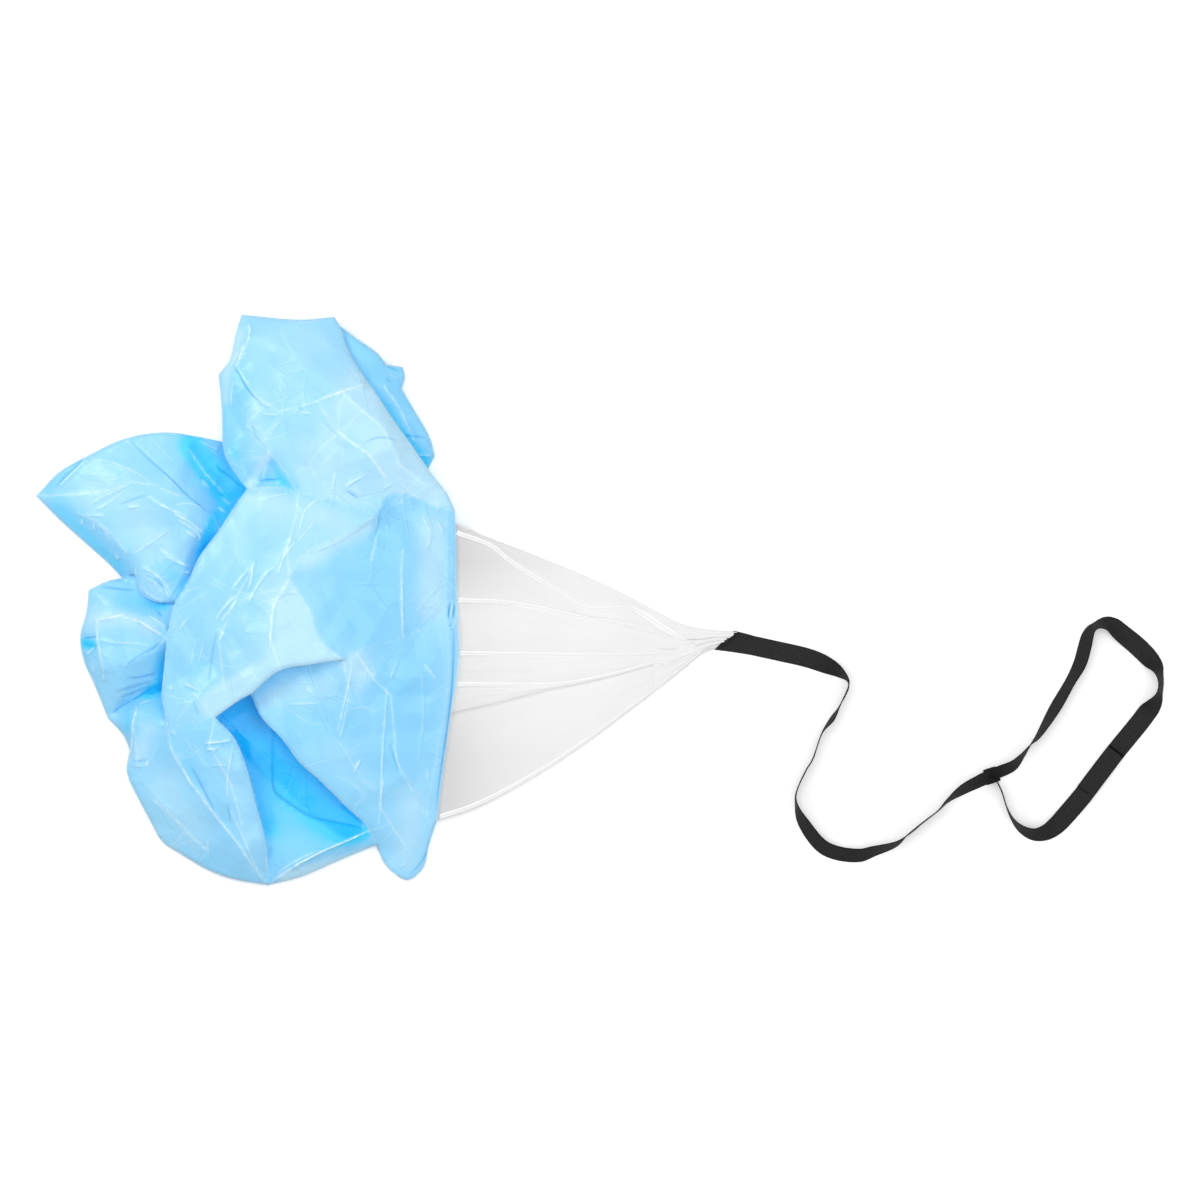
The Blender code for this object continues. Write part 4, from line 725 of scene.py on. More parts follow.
# Fine wrinkles by lobe, with semicolons between them: height (a groove is below
# zero) and width in millimetres, then the line's pixels
WRINKLES = {
    "crown": """
        1.0 5 250,323 250,337 246,345 242,353 238,362; -1.0 3 236,369 242,380 249,391 258,401
        264,406 272,409; 0.8 3 239,370 245,380 252,390 260,399 268,404 280,410; 1.4 3 244,344
        239,362 236,368; 0.9 3 242,347 231,367; 1.0 4 235,380 232,393 232,406; 0.9 3 250,325
        251,334; 1.0 3 265,415 279,415; 1.5 3 303,413 312,414; -0.6 3 301,405 303,411;
        1.2 5 317,401 331,396 347,390 366,385; 1.4 5 319,405 328,418 342,436 360,447 373,458
        384,474 386,480; 1.0 4 322,423 338,439; 0.7 3 324,431 334,441; -0.7 4 363,444 376,438
        389,438 399,443; 1.2 3 396,441 407,450; 0.7 3 345,446 342,460 343,471; 1.8 3 336,473
        334,485 332,494; 1.8 3 345,488 353,482 365,476; -1.0 3 347,491 359,499; 0.9 3 354,489
        363,497; -1.4 4 260,481 266,480 280,479; 0.6 3 286,417 272,431 262,445; -0.5 3 253,425
        256,436 261,442; 0.5 3 306,452 320,488; 0.5 3 312,454 328,485
    """,
    "back": """
        -0.9 2 400,436 417,436 426,438; 1.2 3 416,455 432,456; -0.8 2 387,367 400,371;
        -0.7 2 386,379 392,382; 0.8 2 387,374 399,379; 0.7 3 384,386 395,402
    """,
    "left": """
        1.3 3 86,460 71,475 60,486; -1.0 2 83,460 68,474 55,488; 1.2 6 90,459 103,460 121,465
        141,475 157,486; 1.2 4 160,488 185,498; -1.3 3 131,442 141,452 155,464 174,481 188,496
        200,505 207,511; 0.7 3 136,442 147,453 160,465; 0.8 3 89,505 112,493 134,483;
        0.6 3 92,512 112,502 127,490; -0.7 3 120,505 136,499 149,495; 1.5 3 128,508 140,506;
        1.2 3 152,500 162,506 174,510 189,517; 2.0 3 174,514 188,521 200,529; 2.0 3 177,519
        190,527 200,534 201,541; 1.4 3 186,531 197,538; 1.0 3 175,505 191,503 204,509;
        1.3 3 86,515 105,516; 1.3 3 94,521 95,531; 0.9 3 83,518 82,526; 1.6 3 97,524 106,530
        112,541; 1.5 3 115,552 119,560; 0.8 3 133,555 147,546 171,529; 2.0 4 161,550 172,560
        193,568; 1.6 3 184,572 191,573; 1.8 4 136,568 137,579; 1.5 3 140,568 153,571 166,583
        172,594; 1.6 3 165,587 170,598; 0.9 2 144,577 156,583 165,596; -0.8 2 147,575 158,580
        167,592; 0.8 2 149,583 157,596; 1.2 3 137,580 144,591 155,599 166,602; 1.8 3 201,479
        210,488; 1.0 3 222,497 231,505; 2.0 3 218,507 226,513; 0.8 3 213,512 218,524;
        -1.2 3 217,467 231,477 243,487; 1.1 2 199,441 209,446 219,450; 0.5 3 150,574 160,583
    """,
    "puff": """
        -0.9 3 103,587 121,589 134,590; 0.8 3 92,611 98,604 106,594; 1.4 4 96,619 106,619
        116,616 128,614; 2.0 3 127,618 139,620 150,627 165,636; 1.8 3 148,615 160,621 168,628;
        -0.9 3 157,610 163,617; 1.2 3 143,624 156,632; -1.4 3 83,638 97,637; 1.2 3 96,624 98,638
        100,655 105,674; 1.2 3 95,647 87,655; 0.8 3 101,639 113,643 133,643 150,646;
        -1.1 3 127,664 143,654 153,649 161,642; -0.7 2 128,678 143,677 156,673; -0.6 2 117,691
        136,686 150,681; -0.6 2 121,697 138,691 152,685; -1.0 2 114,712 123,706 138,697 157,684;
        0.9 3 91,662 95,673; 1.2 3 103,673 105,681
    """,
    "side": """
        1.4 4 137,709 133,722 133,735 131,755; 1.0 3 139,705 145,702 156,699; 0.9 3 133,766
        146,766; 1.2 3 149,760 146,766; -0.7 3 132,762 147,760
    """,
    "lower": """
        1.5 5 166,738 177,756 189,778 202,797 214,813 232,836 246,854 256,875; 1.2 4 231,809
        242,833 254,861 262,877; 1.0 4 234,744 231,761 228,779 228,798; -0.7 3 228,803 231,824;
        0.8 6 142,783 171,812 191,842 205,863; 1.6 3 206,743 220,742 232,740; 1.8 3 207,749
        217,749; 1.0 3 213,752 220,746; 0.7 3 212,765 228,765; 1.3 3 170,730 177,735;
        0.6 3 180,730 196,754; 0.6 3 194,741 206,768; -0.9 3 192,767 203,787 215,811;
        0.6 4 208,840 209,858
    """,
    "front": """
        1.4 5 289,581 275,603 272,620 272,640 270,655; 1.8 3 279,575 283,559 292,537;
        1.2 3 284,558 296,541; 1.0 4 292,576 304,553; 1.2 3 299,541 316,521; 1.2 4 298,536
        303,520 304,512 314,503; 1.3 3 298,504 303,511; 1.6 4 249,602 260,583 269,571 277,566;
        1.6 3 249,590 253,577 253,567 256,562; 0.9 4 233,589 249,569; 1.2 4 217,620 221,612
        233,599 238,595; 1.0 3 222,622 226,616 239,599; 1.6 3 223,630 221,640; -0.6 3 218,630
        214,647 209,682; 0.9 3 306,507 318,500 328,500; 1.2 3 267,499 274,496 289,494;
        1.6 3 185,684 191,686 201,691; 1.4 3 171,686 173,690; 0.8 3 180,629 189,618;
        0.8 3 193,692 203,704; 0.6 3 184,701 190,716; 0.6 3 197,640 190,670; 0.6 3 205,640
        199,665; 0.6 3 203,702 209,713; -0.5 3 194,700 199,716; 0.9 5 320,665 300,669 281,673
        258,689
    """,
    "rim": """
        1.0 4 402,561 401,574 403,594 403,614 404,629; 1.4 3 423,516 432,535; 0.9 3 432,537
        427,549; 1.3 3 438,520 444,534; 0.9 3 402,498 403,506; 0.7 3 409,500 413,510;
        -0.6 4 382,508 376,537; 0.6 6 312,553 341,541 368,524
    """,
    "mouth": """
        1.1 4 357,656 367,668 377,677; 1.2 6 353,657 352,672 345,703 338,732; 0.7 4 338,738
        352,763 361,776; 1.4 3 361,759 354,773; 1.5 3 306,689 313,693; 0.7 3 289,704 320,703;
        0.6 3 295,728 302,738; 1.1 4 388,684 385,720 382,767 382,799 379,825; -0.7 3 390,743
        398,770; 0.8 3 394,746 402,776; 0.8 4 398,661 390,680; 1.4 3 424,663 437,679;
        0.5 4 422,668 424,719 418,767; 0.7 3 427,768 429,781; 0.6 3 400,867 406,863;
        -1.0 2 429,840 427,852 420,865 409,876
    """,
    "hem_upper": """
        0.5 2 453,520 453,560 453,594; -1.4 2 451,602 449,611 449,619; -1.2 2 455,604 453,618;
        1.0 2 453,600 451,618
    """,
    "hem_lower": """
        -1.2 2 450,623 452,629; -1.3 2 454,630 454,653 452.5,688 447,733 440,776 436,812;
        1.2 2 449,628 455,627
    """,
    "inside": """
        -1.6 3 274,731 272,742 272,765 272,789 280,797 302,812 312,817 337,822 362,827;
        1.6 4 272,881 297,865 323,851 347,841 366,832; 0.9 3 277,873 297,860 318,850
    """,
}
# Deeper blue over whole lobes, for layers lying together and for painted shade
BASE_TONES = {"back": 0.32, "inside": 0.55, "rim": 0.10, "puff": 0.12, "left": 0.08,
              "lower": 0.12, "side": 0.12, "mouth": 0.10}
# Deeper or paler blue along lines, for layers of cloth that lie together or one layer alone and
# for painted shade and painted light,
# written the same way: depth, width in pixels, then the line's pixels
TONES = {
    "crown": """
        -0.32 30 325,462 335,488; -1.1 24 370,400 390,430 408,460 420,490; -0.5 6 238,335
        228,370 227,400; 0.38 12 237,378 232,420 236,452; 0.3 10 234,455 245,476;
        -0.45 4 251,484 260,470 268,457; 0.75 5 273,464 284,480 292,489; 0.55 5 266,478 280,484;
        -0.15 10 262,400 255,420 262,440; -0.05 26 270,340 300,350 320,345
    """,
    "back": """
        0.25 9 417,457 430,462
    """,
    "left": """
        1.2 16 192,446 210,472 232,500; 0.85 6 214,517 207,535 202,553; 0.45 9 168,569 185,582
        180,593; -0.1 11 146,578 162,595; 0.62 9 58,508 82,530 102,550 120,567; -0.22 20 100,490
        130,500 155,545; 0.42 5 48,487 62,473 78,462
    """,
    "puff": """
        -0.4 9 95,620 128,617 150,627; 1.15 8 163,689 152,694; 1.0 5 152,695 138,703 122,711;
        0.4 9 158,655 160,672; 0.4 8 125,600 148,609 163,606; 1.4 5 84,643 93,645; 0.55 4 83,655
        84,668
    """,
    "side": """
        0.55 6 128,712 128,730; 0.25 9 150,703 158,712; -0.3 10 148,730 140,755
    """,
    "lower": """
        0.4 5 189,764 198,784; -0.12 13 225,760 240,800 250,840; -0.18 18 165,785 200,830
    """,
    "front": """
        -0.6 28 300,600 300,650; -1.15 11 216,704 260,678 340,651; 0.12 30 200,590 190,650;
        -0.22 16 265,502 300,512 340,522
    """,
    "rim": """
        0.18 45 375,565 380,612; -0.45 16 432,530 432,605; -0.45 11 308,556 338,541 368,525;
        0.3 6 390,505 381,525 378,536
    """,
    "mouth": """
        -0.25 12 270,697 300,690 325,684; 0.2 20 300,730 345,725; 0.1 13 285,735 320,768
        355,800; -0.45 12 354,660 362,672; -0.24 14 412,800 405,860; 0.28 34 400,690 400,740
    """,
    "inside": """
        1.25 20 262,722 285,765 315,800 350,822; 0.35 13 232,712 258,760 268,830;
        -0.02 14 280,872 320,856 360,845; -0.9 9 285,879 330,864 368,850
    """,
}
# The fine mesh: spacing of its places, and how near they may lie to one another
SPACING = 0.0030
ROW_SHARE = 0.866
EDGE_CLEARANCE = 0.45
LINE_CLEARANCE = 0.62
WOBBLE = 0.12
WOBBLE_TURNS = (1931.0, 877.0)
# Easing of the heights between the named places, less near a fold line
SMOOTH_ROUNDS = 16
HOLD = 0.75
FOLD_HOLD = 0.10
FOLD_REACH = 0.009
SMALL_STEP = 0.006
# Rounded edges
SHOULDER = 0.006
SHOULDER_SHARE = 0.35
SHOULDER_DROP = 0.004
SHOULDER_START = 0.001
# Wrinkles: a sharp tent on a broad rise, with a painted highlight along it and a painted shadow
# line in its lee; fold lines and lobe edges get a painted highlight too
WRINKLE_SIDE = 0.0015
TENT_REACH = 1.2 * WRINKLE_SIDE
TENT_GAIN = 0.45
WRINKLE_GAIN = 0.5
CREASE_WIDTH = 0.0012
HIGHLIGHT_RISE = 0.0015
LEE_SHADOW_SIDE = np.array([0.0011, -0.0011])
LEE_SHADOW = 0.38
FOLD_HIGHLIGHT = 0.3
EDGE_HIGHLIGHT = 0.4
LEVEL_EDGE_HIGHLIGHT = 0.15
# The crumple fades towards the outer edge
CRUMPLE_FADE = 0.030
CRUMPLE_LEAST = 0.15
CRUMPLE_CLEARANCE = 0.0006
# Cloth that turns under, between lobes and round the outside, and the floor layer
WALL_ROWS = 5
TUCK_REACH = 0.010
TUCK_SHARE = 0.6
TURN_REACH = 0.012
TURN_SHARE = 0.5
TURN_LEAST = 0.002
LAYER_INSET = 0.009
LAYER_LEVEL = 0.0008
# Painted shade: deeper blue where cloth lies lower than what is round it
MIDDLE_TONE = 0.22
TONE_ROUNDS = 3
TONE_CELL = 0.006
TONE_MARGIN = 0.1
AROUND_ROUNDS = 18
LOW_START = 0.004
LOW_REACH = 0.034
LOW_POWER = 1.1
LOW_TONE = 0.6
LAYER_AND_SHADE_TONE = 0.55
TONE_LIMITS = (-0.1, 1.15)
TONE_KEPT = 0.4

OUTER_PAIRS = list(zip(OUTER_CHAIN, OUTER_CHAIN[1:] + OUTER_CHAIN[:1]))


def curve_between(before, first, last, after, count):
    # A smooth run from first to last that leaves and arrives along its chain
    reach = np.linalg.norm(last - first)
    leave = last - first
    arrive = last - first
    if before is not None:
        near = np.linalg.norm(first - before)
        leave = ((last - first) / reach + (first - before) / near) / 2 * reach
    if after is not None:
        near = np.linalg.norm(after - last)
        arrive = ((last - first) / reach + (after - last) / near) / 2 * reach
    t = np.linspace(0, 1, count + 1)[:, None]
    return ((2 * t ** 3 - 3 * t ** 2 + 1) * first + (t ** 3 - 2 * t ** 2 + t) * leave
            + (3 * t ** 2 - 2 * t ** 3) * last + (t ** 3 - t ** 2) * arrive)


def chain_curves(spacing):
    curves = {}
    for chain in CHAINS:
        line = [plan(PLACES[name]) for name in chain]
        for i, (a, b) in enumerate(zip(chain, chain[1:])):
            if (a, b) in curves:
                continue
            before = line[i - 1] if i > 0 and a not in SHARP else None
            after = line[i + 2] if i + 2 < len(chain) and b not in SHARP else None
            count = max(int(round(np.linalg.norm(line[i + 1] - line[i]) / spacing)), 1)
            curves[a, b] = curve_between(before, line[i], line[i + 1], after, count)
    return curves


def height(share):
    return CLOTH_FLOOR + share * (HEAP_HEIGHT - CLOTH_FLOOR)


def inside_polygon(points, loop):
    # Which points lie inside a closed loop
    inside = np.zeros(len(points), bool)
    after = np.roll(loop, -1, axis=0)
    for (x0, y0), (x1, y1) in zip(loop, after):
        crosses = (y0 > points[:, 1]) != (y1 > points[:, 1])
        with np.errstate(divide="ignore", invalid="ignore"):
            where = (x1 - x0) * (points[:, 1] - y0) / (y1 - y0) + x0
        inside ^= crosses & (points[:, 0] < where)
    return inside


def resample(line, spacing):
    line = np.asarray(line, float)
    out = [line[0]]
    for a, b in zip(line, line[1:]):
        steps = max(int(round(np.linalg.norm(b[:2] - a[:2]) / spacing)), 1)
        out += [a + (b - a) * k / steps for k in range(1, steps + 1)]
    return np.array(out)


def smooth_line(line):
    # Two rounds of corner cutting that keep the ends
    line = np.asarray(line, float)
    for _ in range(2):
        cut = [line[0]]
        for a, b in zip(line, line[1:]):
            cut += [a * 0.75 + b * 0.25, a * 0.25 + b * 0.75]
        line = np.array(cut + [line[-1]])
    return line


def traced_lines(text):
    # The lines of a lobe's table, each with the two numbers before its pixels
    for entry in filter(None, text.split(";")):
        first, second, pixels = entry.split(None, 2)
        yield float(first), float(second), smooth_line(pixel_line(pixels))


def line_distance(points, line):
    # The distance to a polyline and how far along it the nearest place lies
    best = np.full(len(points), 9.0)
    along = np.zeros(len(points))
    lengths = np.linalg.norm(np.diff(line, axis=0), axis=1)
    total = lengths.sum()
    run = 0.0
    for a, b, length in zip(line, line[1:], lengths):
        if length == 0:
            continue
        step = (b - a) / length
        reach = np.clip((points - a) @ step, 0, length)
        far = np.linalg.norm(points - a - reach[:, None] * step, axis=1)
        near = far < best
        best[near] = far[near]
        along[near] = (run + reach[near]) / total
        run += length
    return best, along


def plan_tree(places):
    tree = KDTree(len(places))
    for i, place in enumerate(places):
        tree.insert((place[0], place[1], 0.0), i)
    tree.balance()
    return tree


def close_small_steps(levels):
    # Lobes that nearly meet at a place share its height; clear steps stay
    order = sorted(levels, key=levels.get)
    heights = [levels[name] for name in order]
    made = [0.0]
    for low, high in zip(heights, heights[1:]):
        made.append(made[-1] + min(max(high - low - SMALL_STEP, 0.0) * 2.0, high - low))
    shift = sum(heights) / len(heights) - sum(made) / len(made)
    return {name: value + shift for name, value in zip(order, made)}


# Straight creases run right through thin film: direction in degrees, waves per
# metre, height in millimetres
CREASES = [(24, 7.5, 5.5), (71, 6.1, 5.0), (118, 8.7, 4.6), (152, 6.8, 4.4),
           (39, 19.0, 2.3), (93, 17.0, 2.2), (137, 22.0, 1.9), (8, 24.0, 1.7)]


def crumple(x, y):
    # Each crease folds the film along a straight line, stronger here than there
    total = 0.0
    for number, (degrees, waves, rise) in enumerate(CREASES):
        turn = math.radians(degrees)
        bend = 0.35 * noise.noise(Vector((x * 5.0, y * 5.0, number * 3.7)))
        run = (x * math.cos(turn) + y * math.sin(turn)) * waves + number * 0.37 + bend
        fold = abs(run - math.floor(run) - 0.5) * 2
        here = noise.noise(Vector((x * 8.0, y * 8.0, 20.0 + number * 2.3)))
        total += rise / 1000 * (fold - 0.5) * min(max(0.35 + 1.5 * here, 0.0), 1.2)
    soft = abs(noise.noise(Vector((x * 26.0, y * 24.0, 7.9))))
    return total + 0.0014 * (0.3 - soft)


class Lobe:
    # One fold of the canopy: its outline, its folds and wrinkles, and its mesh
    def __init__(self, name, form, curves):
        self.name = name
        self.names = names_of(form["outline"])
        self.shares = [share for share, in values_of(form["outline"])]
        self.inner = dict(zip(ascii_lowercase, values_of(form["inner"])))
        self.folds = [fold.split("-") for fold in form["folds"].split()]
        self.wrinkles = [(rise / 1000, width / 1000, line)
                         for rise, width, line in traced_lines(WRINKLES[name])]
        self.walk_outline(curves)
        self.fold_lines = [np.array([self.named_place(key) for key in fold])
                           for fold in self.folds]

    def named_place(self, key):
        return plan(self.inner[key][:2] if key in self.inner else PLACES[key])

    def walk_outline(self, curves):
        self.keys, places, heights = [], [], []
        levels = [height(share) for share in self.shares]
        for a, b, low, high in zip(self.names, self.names[1:] + self.names[:1],
                                   levels, levels[1:] + levels[:1]):
            if (a, b) in curves:
                run = curves[a, b]
                keys = [(a, b, k) for k in range(len(run))]
            else:
                run = curves[b, a][::-1]
                keys = [(b, a, len(run) - 1 - k) for k in range(len(run))]
            keys[0] = (a,)
            for k in range(len(run) - 1):
                self.keys.append(keys[k])
                places.append(run[k])
                heights.append(low + (high - low) * (k / (len(run) - 1)))
        self.edge = np.array(places)
        self.edge_z = np.array(heights)
        after = np.roll(self.edge, -1, axis=0)
        self.clockwise = np.sum(self.edge[:, 0] * after[:, 1]
                                - after[:, 0] * self.edge[:, 1]) < 0

    def cage_heights(self, points):
        # The height over each point of the coarse net of named places
        named = {n: (*plan(PLACES[n]), height(s)) for n, s in zip(self.names, self.shares)}
        for key, (_, _, share) in self.inner.items():
            named[key] = (*self.named_place(key), height(share))
        coarse = np.array(list(named.values()))
        index = {n: i for i, n in enumerate(named)}
        count = len(self.names)
        edges = [(i, (i + 1) % count) for i in range(count)]
        for fold in self.folds:
            edges += [(index[a], index[b]) for a, b in zip(fold, fold[1:])]
        found = delaunay_2d_cdt([Vector(p[:2]) for p in coarse], edges, [], 1, 1e-6)
        sources = [s[0] if s else 0 for s in found[3]]
        best = np.full(len(points), -9.0)
        result = np.zeros(len(points))
        px, py = points[:, 0], points[:, 1]
        for face in found[2]:
            a, b, c = (coarse[sources[i]] for i in face)
            area = (b[0] - a[0]) * (c[1] - a[1]) - (c[0] - a[0]) * (b[1] - a[1])
            if abs(area) < 1e-12:
                continue
            wb = ((px - a[0]) * (c[1] - a[1]) - (c[0] - a[0]) * (py - a[1])) / area
            wc = ((b[0] - a[0]) * (py - a[1]) - (px - a[0]) * (b[1] - a[1])) / area
            wa = 1 - wb - wc
            worst = np.minimum(np.minimum(wa, wb), wc)
            near = worst > best
            best[near] = worst[near]
            wa, wb, wc = (np.clip(w, 0, 1) for w in (wa, wb, wc))
            z = (wa * a[2] + wb * b[2] + wc * c[2]) / (wa + wb + wc)
            result[near] = z[near]
        return result

    def clear_places(self, line, spacing):
        # The line at even steps, and which of its places keep clear of the edge
        line = resample(line, spacing)
        far, _ = line_distance(line, np.vstack([self.edge, self.edge[:1]]))
        return line, inside_polygon(line, self.edge) & (far > spacing * EDGE_CLEARANCE)

    def fill(self, spacing):
        # Fine triangles that keep to the outline, the folds and the wrinkles
        points = [tuple(p) for p in self.edge]
        count = len(points)
        edges = [(i, (i + 1) % count) for i in range(count)]
        fixed = [self.edge]
        sides = []
        for _, _, line in self.wrinkles:
            step = np.gradient(line, axis=0)
            step /= np.maximum(np.linalg.norm(step, axis=1), 1e-9)[:, None]
            off = np.column_stack([-step[:, 1], step[:, 0]]) * WRINKLE_SIDE
            sides += [line + off, line - off]
        lines = self.fold_lines + [line for _, _, line in self.wrinkles]
        for line in lines:
            line, keep = self.clear_places(line, spacing)
            last = None
            for place, ok in zip(line, keep):
                if not ok:
                    last = None
                    continue
                points.append(tuple(place))
                if last is not None:
                    edges.append((last, len(points) - 1))
                last = len(points) - 1
            fixed.append(line[keep])
        for line in sides:
            line, keep = self.clear_places(line, spacing)
            for other in lines:
                far, _ = line_distance(line, other)
                keep &= far > WRINKLE_SIDE * 0.8
            points += [tuple(place) for place in line[keep]]
            fixed.append(line[keep])
        low, high = self.edge.min(0), self.edge.max(0)
        grid = []
        for i, y in enumerate(np.arange(low[1], high[1], spacing * ROW_SHARE)):
            xs = np.arange(low[0] + (i % 2) * spacing / 2, high[0], spacing)
            grid.append(np.column_stack([xs, np.full(len(xs), y)]))
        grid = np.vstack(grid)
        turns = grid[:, ::-1] * WOBBLE_TURNS[0] + grid * WOBBLE_TURNS[1]
        grid = grid + np.sin(turns) * spacing * WOBBLE
        grid = grid[inside_polygon(grid, self.edge)]
        tree = plan_tree(np.vstack(fixed))
        points += [tuple(p) for p in grid
                   if tree.find((p[0], p[1], 0.0))[2] > spacing * LINE_CLEARANCE]
        found = delaunay_2d_cdt([Vector(p) for p in points], edges, [], 1, 1e-7)
        self.places = np.array([tuple(v) for v in found[0]])
        self.faces = [tuple(face) for face in found[2]]
        # Which fine place stands at each place of the outline
        self.edge_of = {source: i for i, sources in enumerate(found[3])
                        for source in sources if source < count}

    def shape(self, drops):
        # Heights: the coarse net, eased, with rolled edges and wrinkles
        z = self.cage_heights(self.places)
        for source, i in self.edge_of.items():
            z[i] = self.edge_z[source]
        faces = np.array(self.faces)
        links = np.vstack([faces[:, [0, 1]], faces[:, [1, 2]], faces[:, [2, 0]]])
        links = np.vstack([links, links[:, ::-1]])
        count = len(z)
        degree = np.bincount(links[:, 0], minlength=count)
        hold = np.ones(count) * HOLD
        for line in self.fold_lines:
            far, _ = line_distance(self.places, line)
            hold = np.minimum(hold, np.clip(far / FOLD_REACH, FOLD_HOLD, HOLD))
        hold[list(self.edge_of.values())] = 0.0
        for _ in range(SMOOTH_ROUNDS):
            mean = np.bincount(links[:, 0], weights=z[links[:, 1]], minlength=count) / degree
            z = z + (mean - z) * hold
        for rise, width, line in self.wrinkles:
            far, along = line_distance(self.places, line)
            taper = np.sin(np.clip(along, 0.0, 1.0) * math.pi) ** 0.5
            tent = np.clip(1 - far / TENT_REACH, 0.0, 1.0)
            broad = np.exp(-(far / width) ** 2)
            z += rise * taper * (TENT_GAIN * tent + WRINKLE_GAIN * broad)
        tree = plan_tree(self.edge)
        for i, (x, y) in enumerate(self.places):
            _, near, far = tree.find((x, y, 0.0))
            if drops[near] > 0 and far < SHOULDER:
                part = 1 - far / SHOULDER
                z[i] -= drops[near] * (1 - math.sqrt(1 - part * part))
        for source, i in self.edge_of.items():
            z[i] = self.edge_z[source] - drops[source]
        self.z = z

    def crease_lines(self, drops):
        # Painted highlight along each raised wrinkle, fold line and lobe edge, with a painted
        # shadow as a thin blue line in a wrinkle's lee and along a groove
        crease = np.zeros(len(self.places))
        for rise, _, line in self.wrinkles:
            far, along = line_distance(self.places, line)
            ends = np.sin(np.clip(along, 0.0, 1.0) * math.pi) ** 0.4
            strength = max(min(rise / HIGHLIGHT_RISE, 1.0), -1.0)
            crease += strength * ends * np.exp(-(far / CREASE_WIDTH) ** 2)
            if rise > 0:
                lee, _ = line_distance(self.places, line + LEE_SHADOW_SIDE)
                crease -= LEE_SHADOW * strength * ends * np.exp(-(lee / CREASE_WIDTH) ** 2)
        for line in self.fold_lines:
            far, _ = line_distance(self.places, line)
            crease += FOLD_HIGHLIGHT * np.exp(-(far / CREASE_WIDTH) ** 2)
        for source, i in self.edge_of.items():
            crease[i] += EDGE_HIGHLIGHT if drops[source] > 0 else LEVEL_EDGE_HIGHLIGHT
        return crease

    def tone(self):
        # How deep the blue looks: layers of cloth that lie together, with painted shade and
        # painted light
        deep = np.full(len(self.places), BASE_TONES.get(self.name, 0.0))
        for value, width, line in traced_lines(TONES.get(self.name, "")):
            far, _ = line_distance(self.places, line)
            deep += value * np.exp(-(far / (width * PIXEL)) ** 2)
        return deep

    def inward(self, a, b):
        # The level direction into the lobe from a step a to b of its outline
        step = b[:2] - a[:2]
        side = np.array([-step[1], step[0]])
        side /= max(np.linalg.norm(side), 1e-9)
        return -side if self.clockwise else side


def share_levels(lobes):
    # The height of each lobe at each place of the outlines
    levels = {}
    for lobe in lobes:
        for key, z in zip(lobe.keys, lobe.edge_z):
            levels.setdefault(key, {})[lobe.name] = z
    levels = {key: close_small_steps(found) for key, found in levels.items()}
    for lobe in lobes:
        lobe.edge_z = np.array([levels[key][lobe.name] for key in lobe.keys])
    return levels


def edge_drops(lobe, levels, outer):
    # How far a lobe's rounded edge falls at each place of its outline
    if lobe.name.startswith("hem"):
        return [0.0] * len(lobe.keys)
    drops = []
    for key, z in zip(lobe.keys, lobe.edge_z):
        others = [v for n, v in levels[key].items() if n != lobe.name]
        if key in outer or not others:
            others.append(CLOTH_FLOOR)
        fall = max(z - min(others) - SHOULDER_START, 0.0)
        drops.append(min(fall * SHOULDER_SHARE, SHOULDER_DROP))
    return drops


def tuck(verts, top, low, inward, reach):
    # Places that hang from a high edge to a low one, curving in under it
    a, b = verts[top], verts[low]
    made = [top]
    for k in range(1, WALL_ROWS):
        part = k / WALL_ROWS
        place = a + (b - a) * part
        place[:2] += inward * reach * math.sin(math.pi * part ** 0.8)
        made.append(len(verts))
        verts.append(place)
    return made + [low]


def turn_under(verts, top, inward):
    # Places that lead from the outer edge in under the cloth, down to the floor
    drop = verts[top][2] - CLOTH_FLOOR
    made = [top]
    for k in range(1, WALL_ROWS):
        part = k / (WALL_ROWS - 1)
        place = verts[top].copy()
        place[2] -= drop * math.sin(part * math.pi / 2)
        place[:2] += inward * min(TURN_REACH, TURN_SHARE * drop + TURN_LEAST) * part ** 2
        made.append(len(verts))
        verts.append(place)
    return made


def add_wall(faces, left, right):
    faces += [(left[k], left[k + 1], right[k + 1], right[k]) for k in range(len(left) - 1)]


def join_lobes(lobes, verts, faces, where):
    # Cloth between lobes that share a step of their outlines, and round the outside
    owners = {}
    for lobe in lobes:
        for key, after in zip(lobe.keys, lobe.keys[1:] + lobe.keys[:1]):
            owners.setdefault(frozenset((key, after)), []).append((lobe, key, after))
    columns, skirt = {}, {}
    for users in owners.values():
        if len(users) != 2:
            continue
        (one, a, b), (two, _, _) = users
        inward = one.inward(verts[where[one.name, a]], verts[where[one.name, b]])
        for key in (a, b):
            tag = (one.name, two.name, key)
            if tag in columns:
                continue
            i, j = where[one.name, key], where[two.name, key]
            gap = verts[i][2] - verts[j][2]
            if gap >= 0:
                columns[tag] = tuck(verts, i, j, inward, min(TUCK_REACH, TUCK_SHARE * gap))
            else:
                reach = min(TUCK_REACH, -TUCK_SHARE * gap)
                columns[tag] = tuck(verts, j, i, -inward, reach)[::-1]
        add_wall(faces, columns[one.name, two.name, a], columns[one.name, two.name, b])
    for users in owners.values():
        if len(users) != 1:
            continue
        lobe, a, b = users[0]
        inward = lobe.inward(verts[where[lobe.name, a]], verts[where[lobe.name, b]])
        for key in (a, b):
            if (lobe.name, key) not in skirt:
                skirt[lobe.name, key] = turn_under(verts, where[lobe.name, key], inward)
        add_wall(faces, skirt[lobe.name, a], skirt[lobe.name, b])
    return columns, skirt


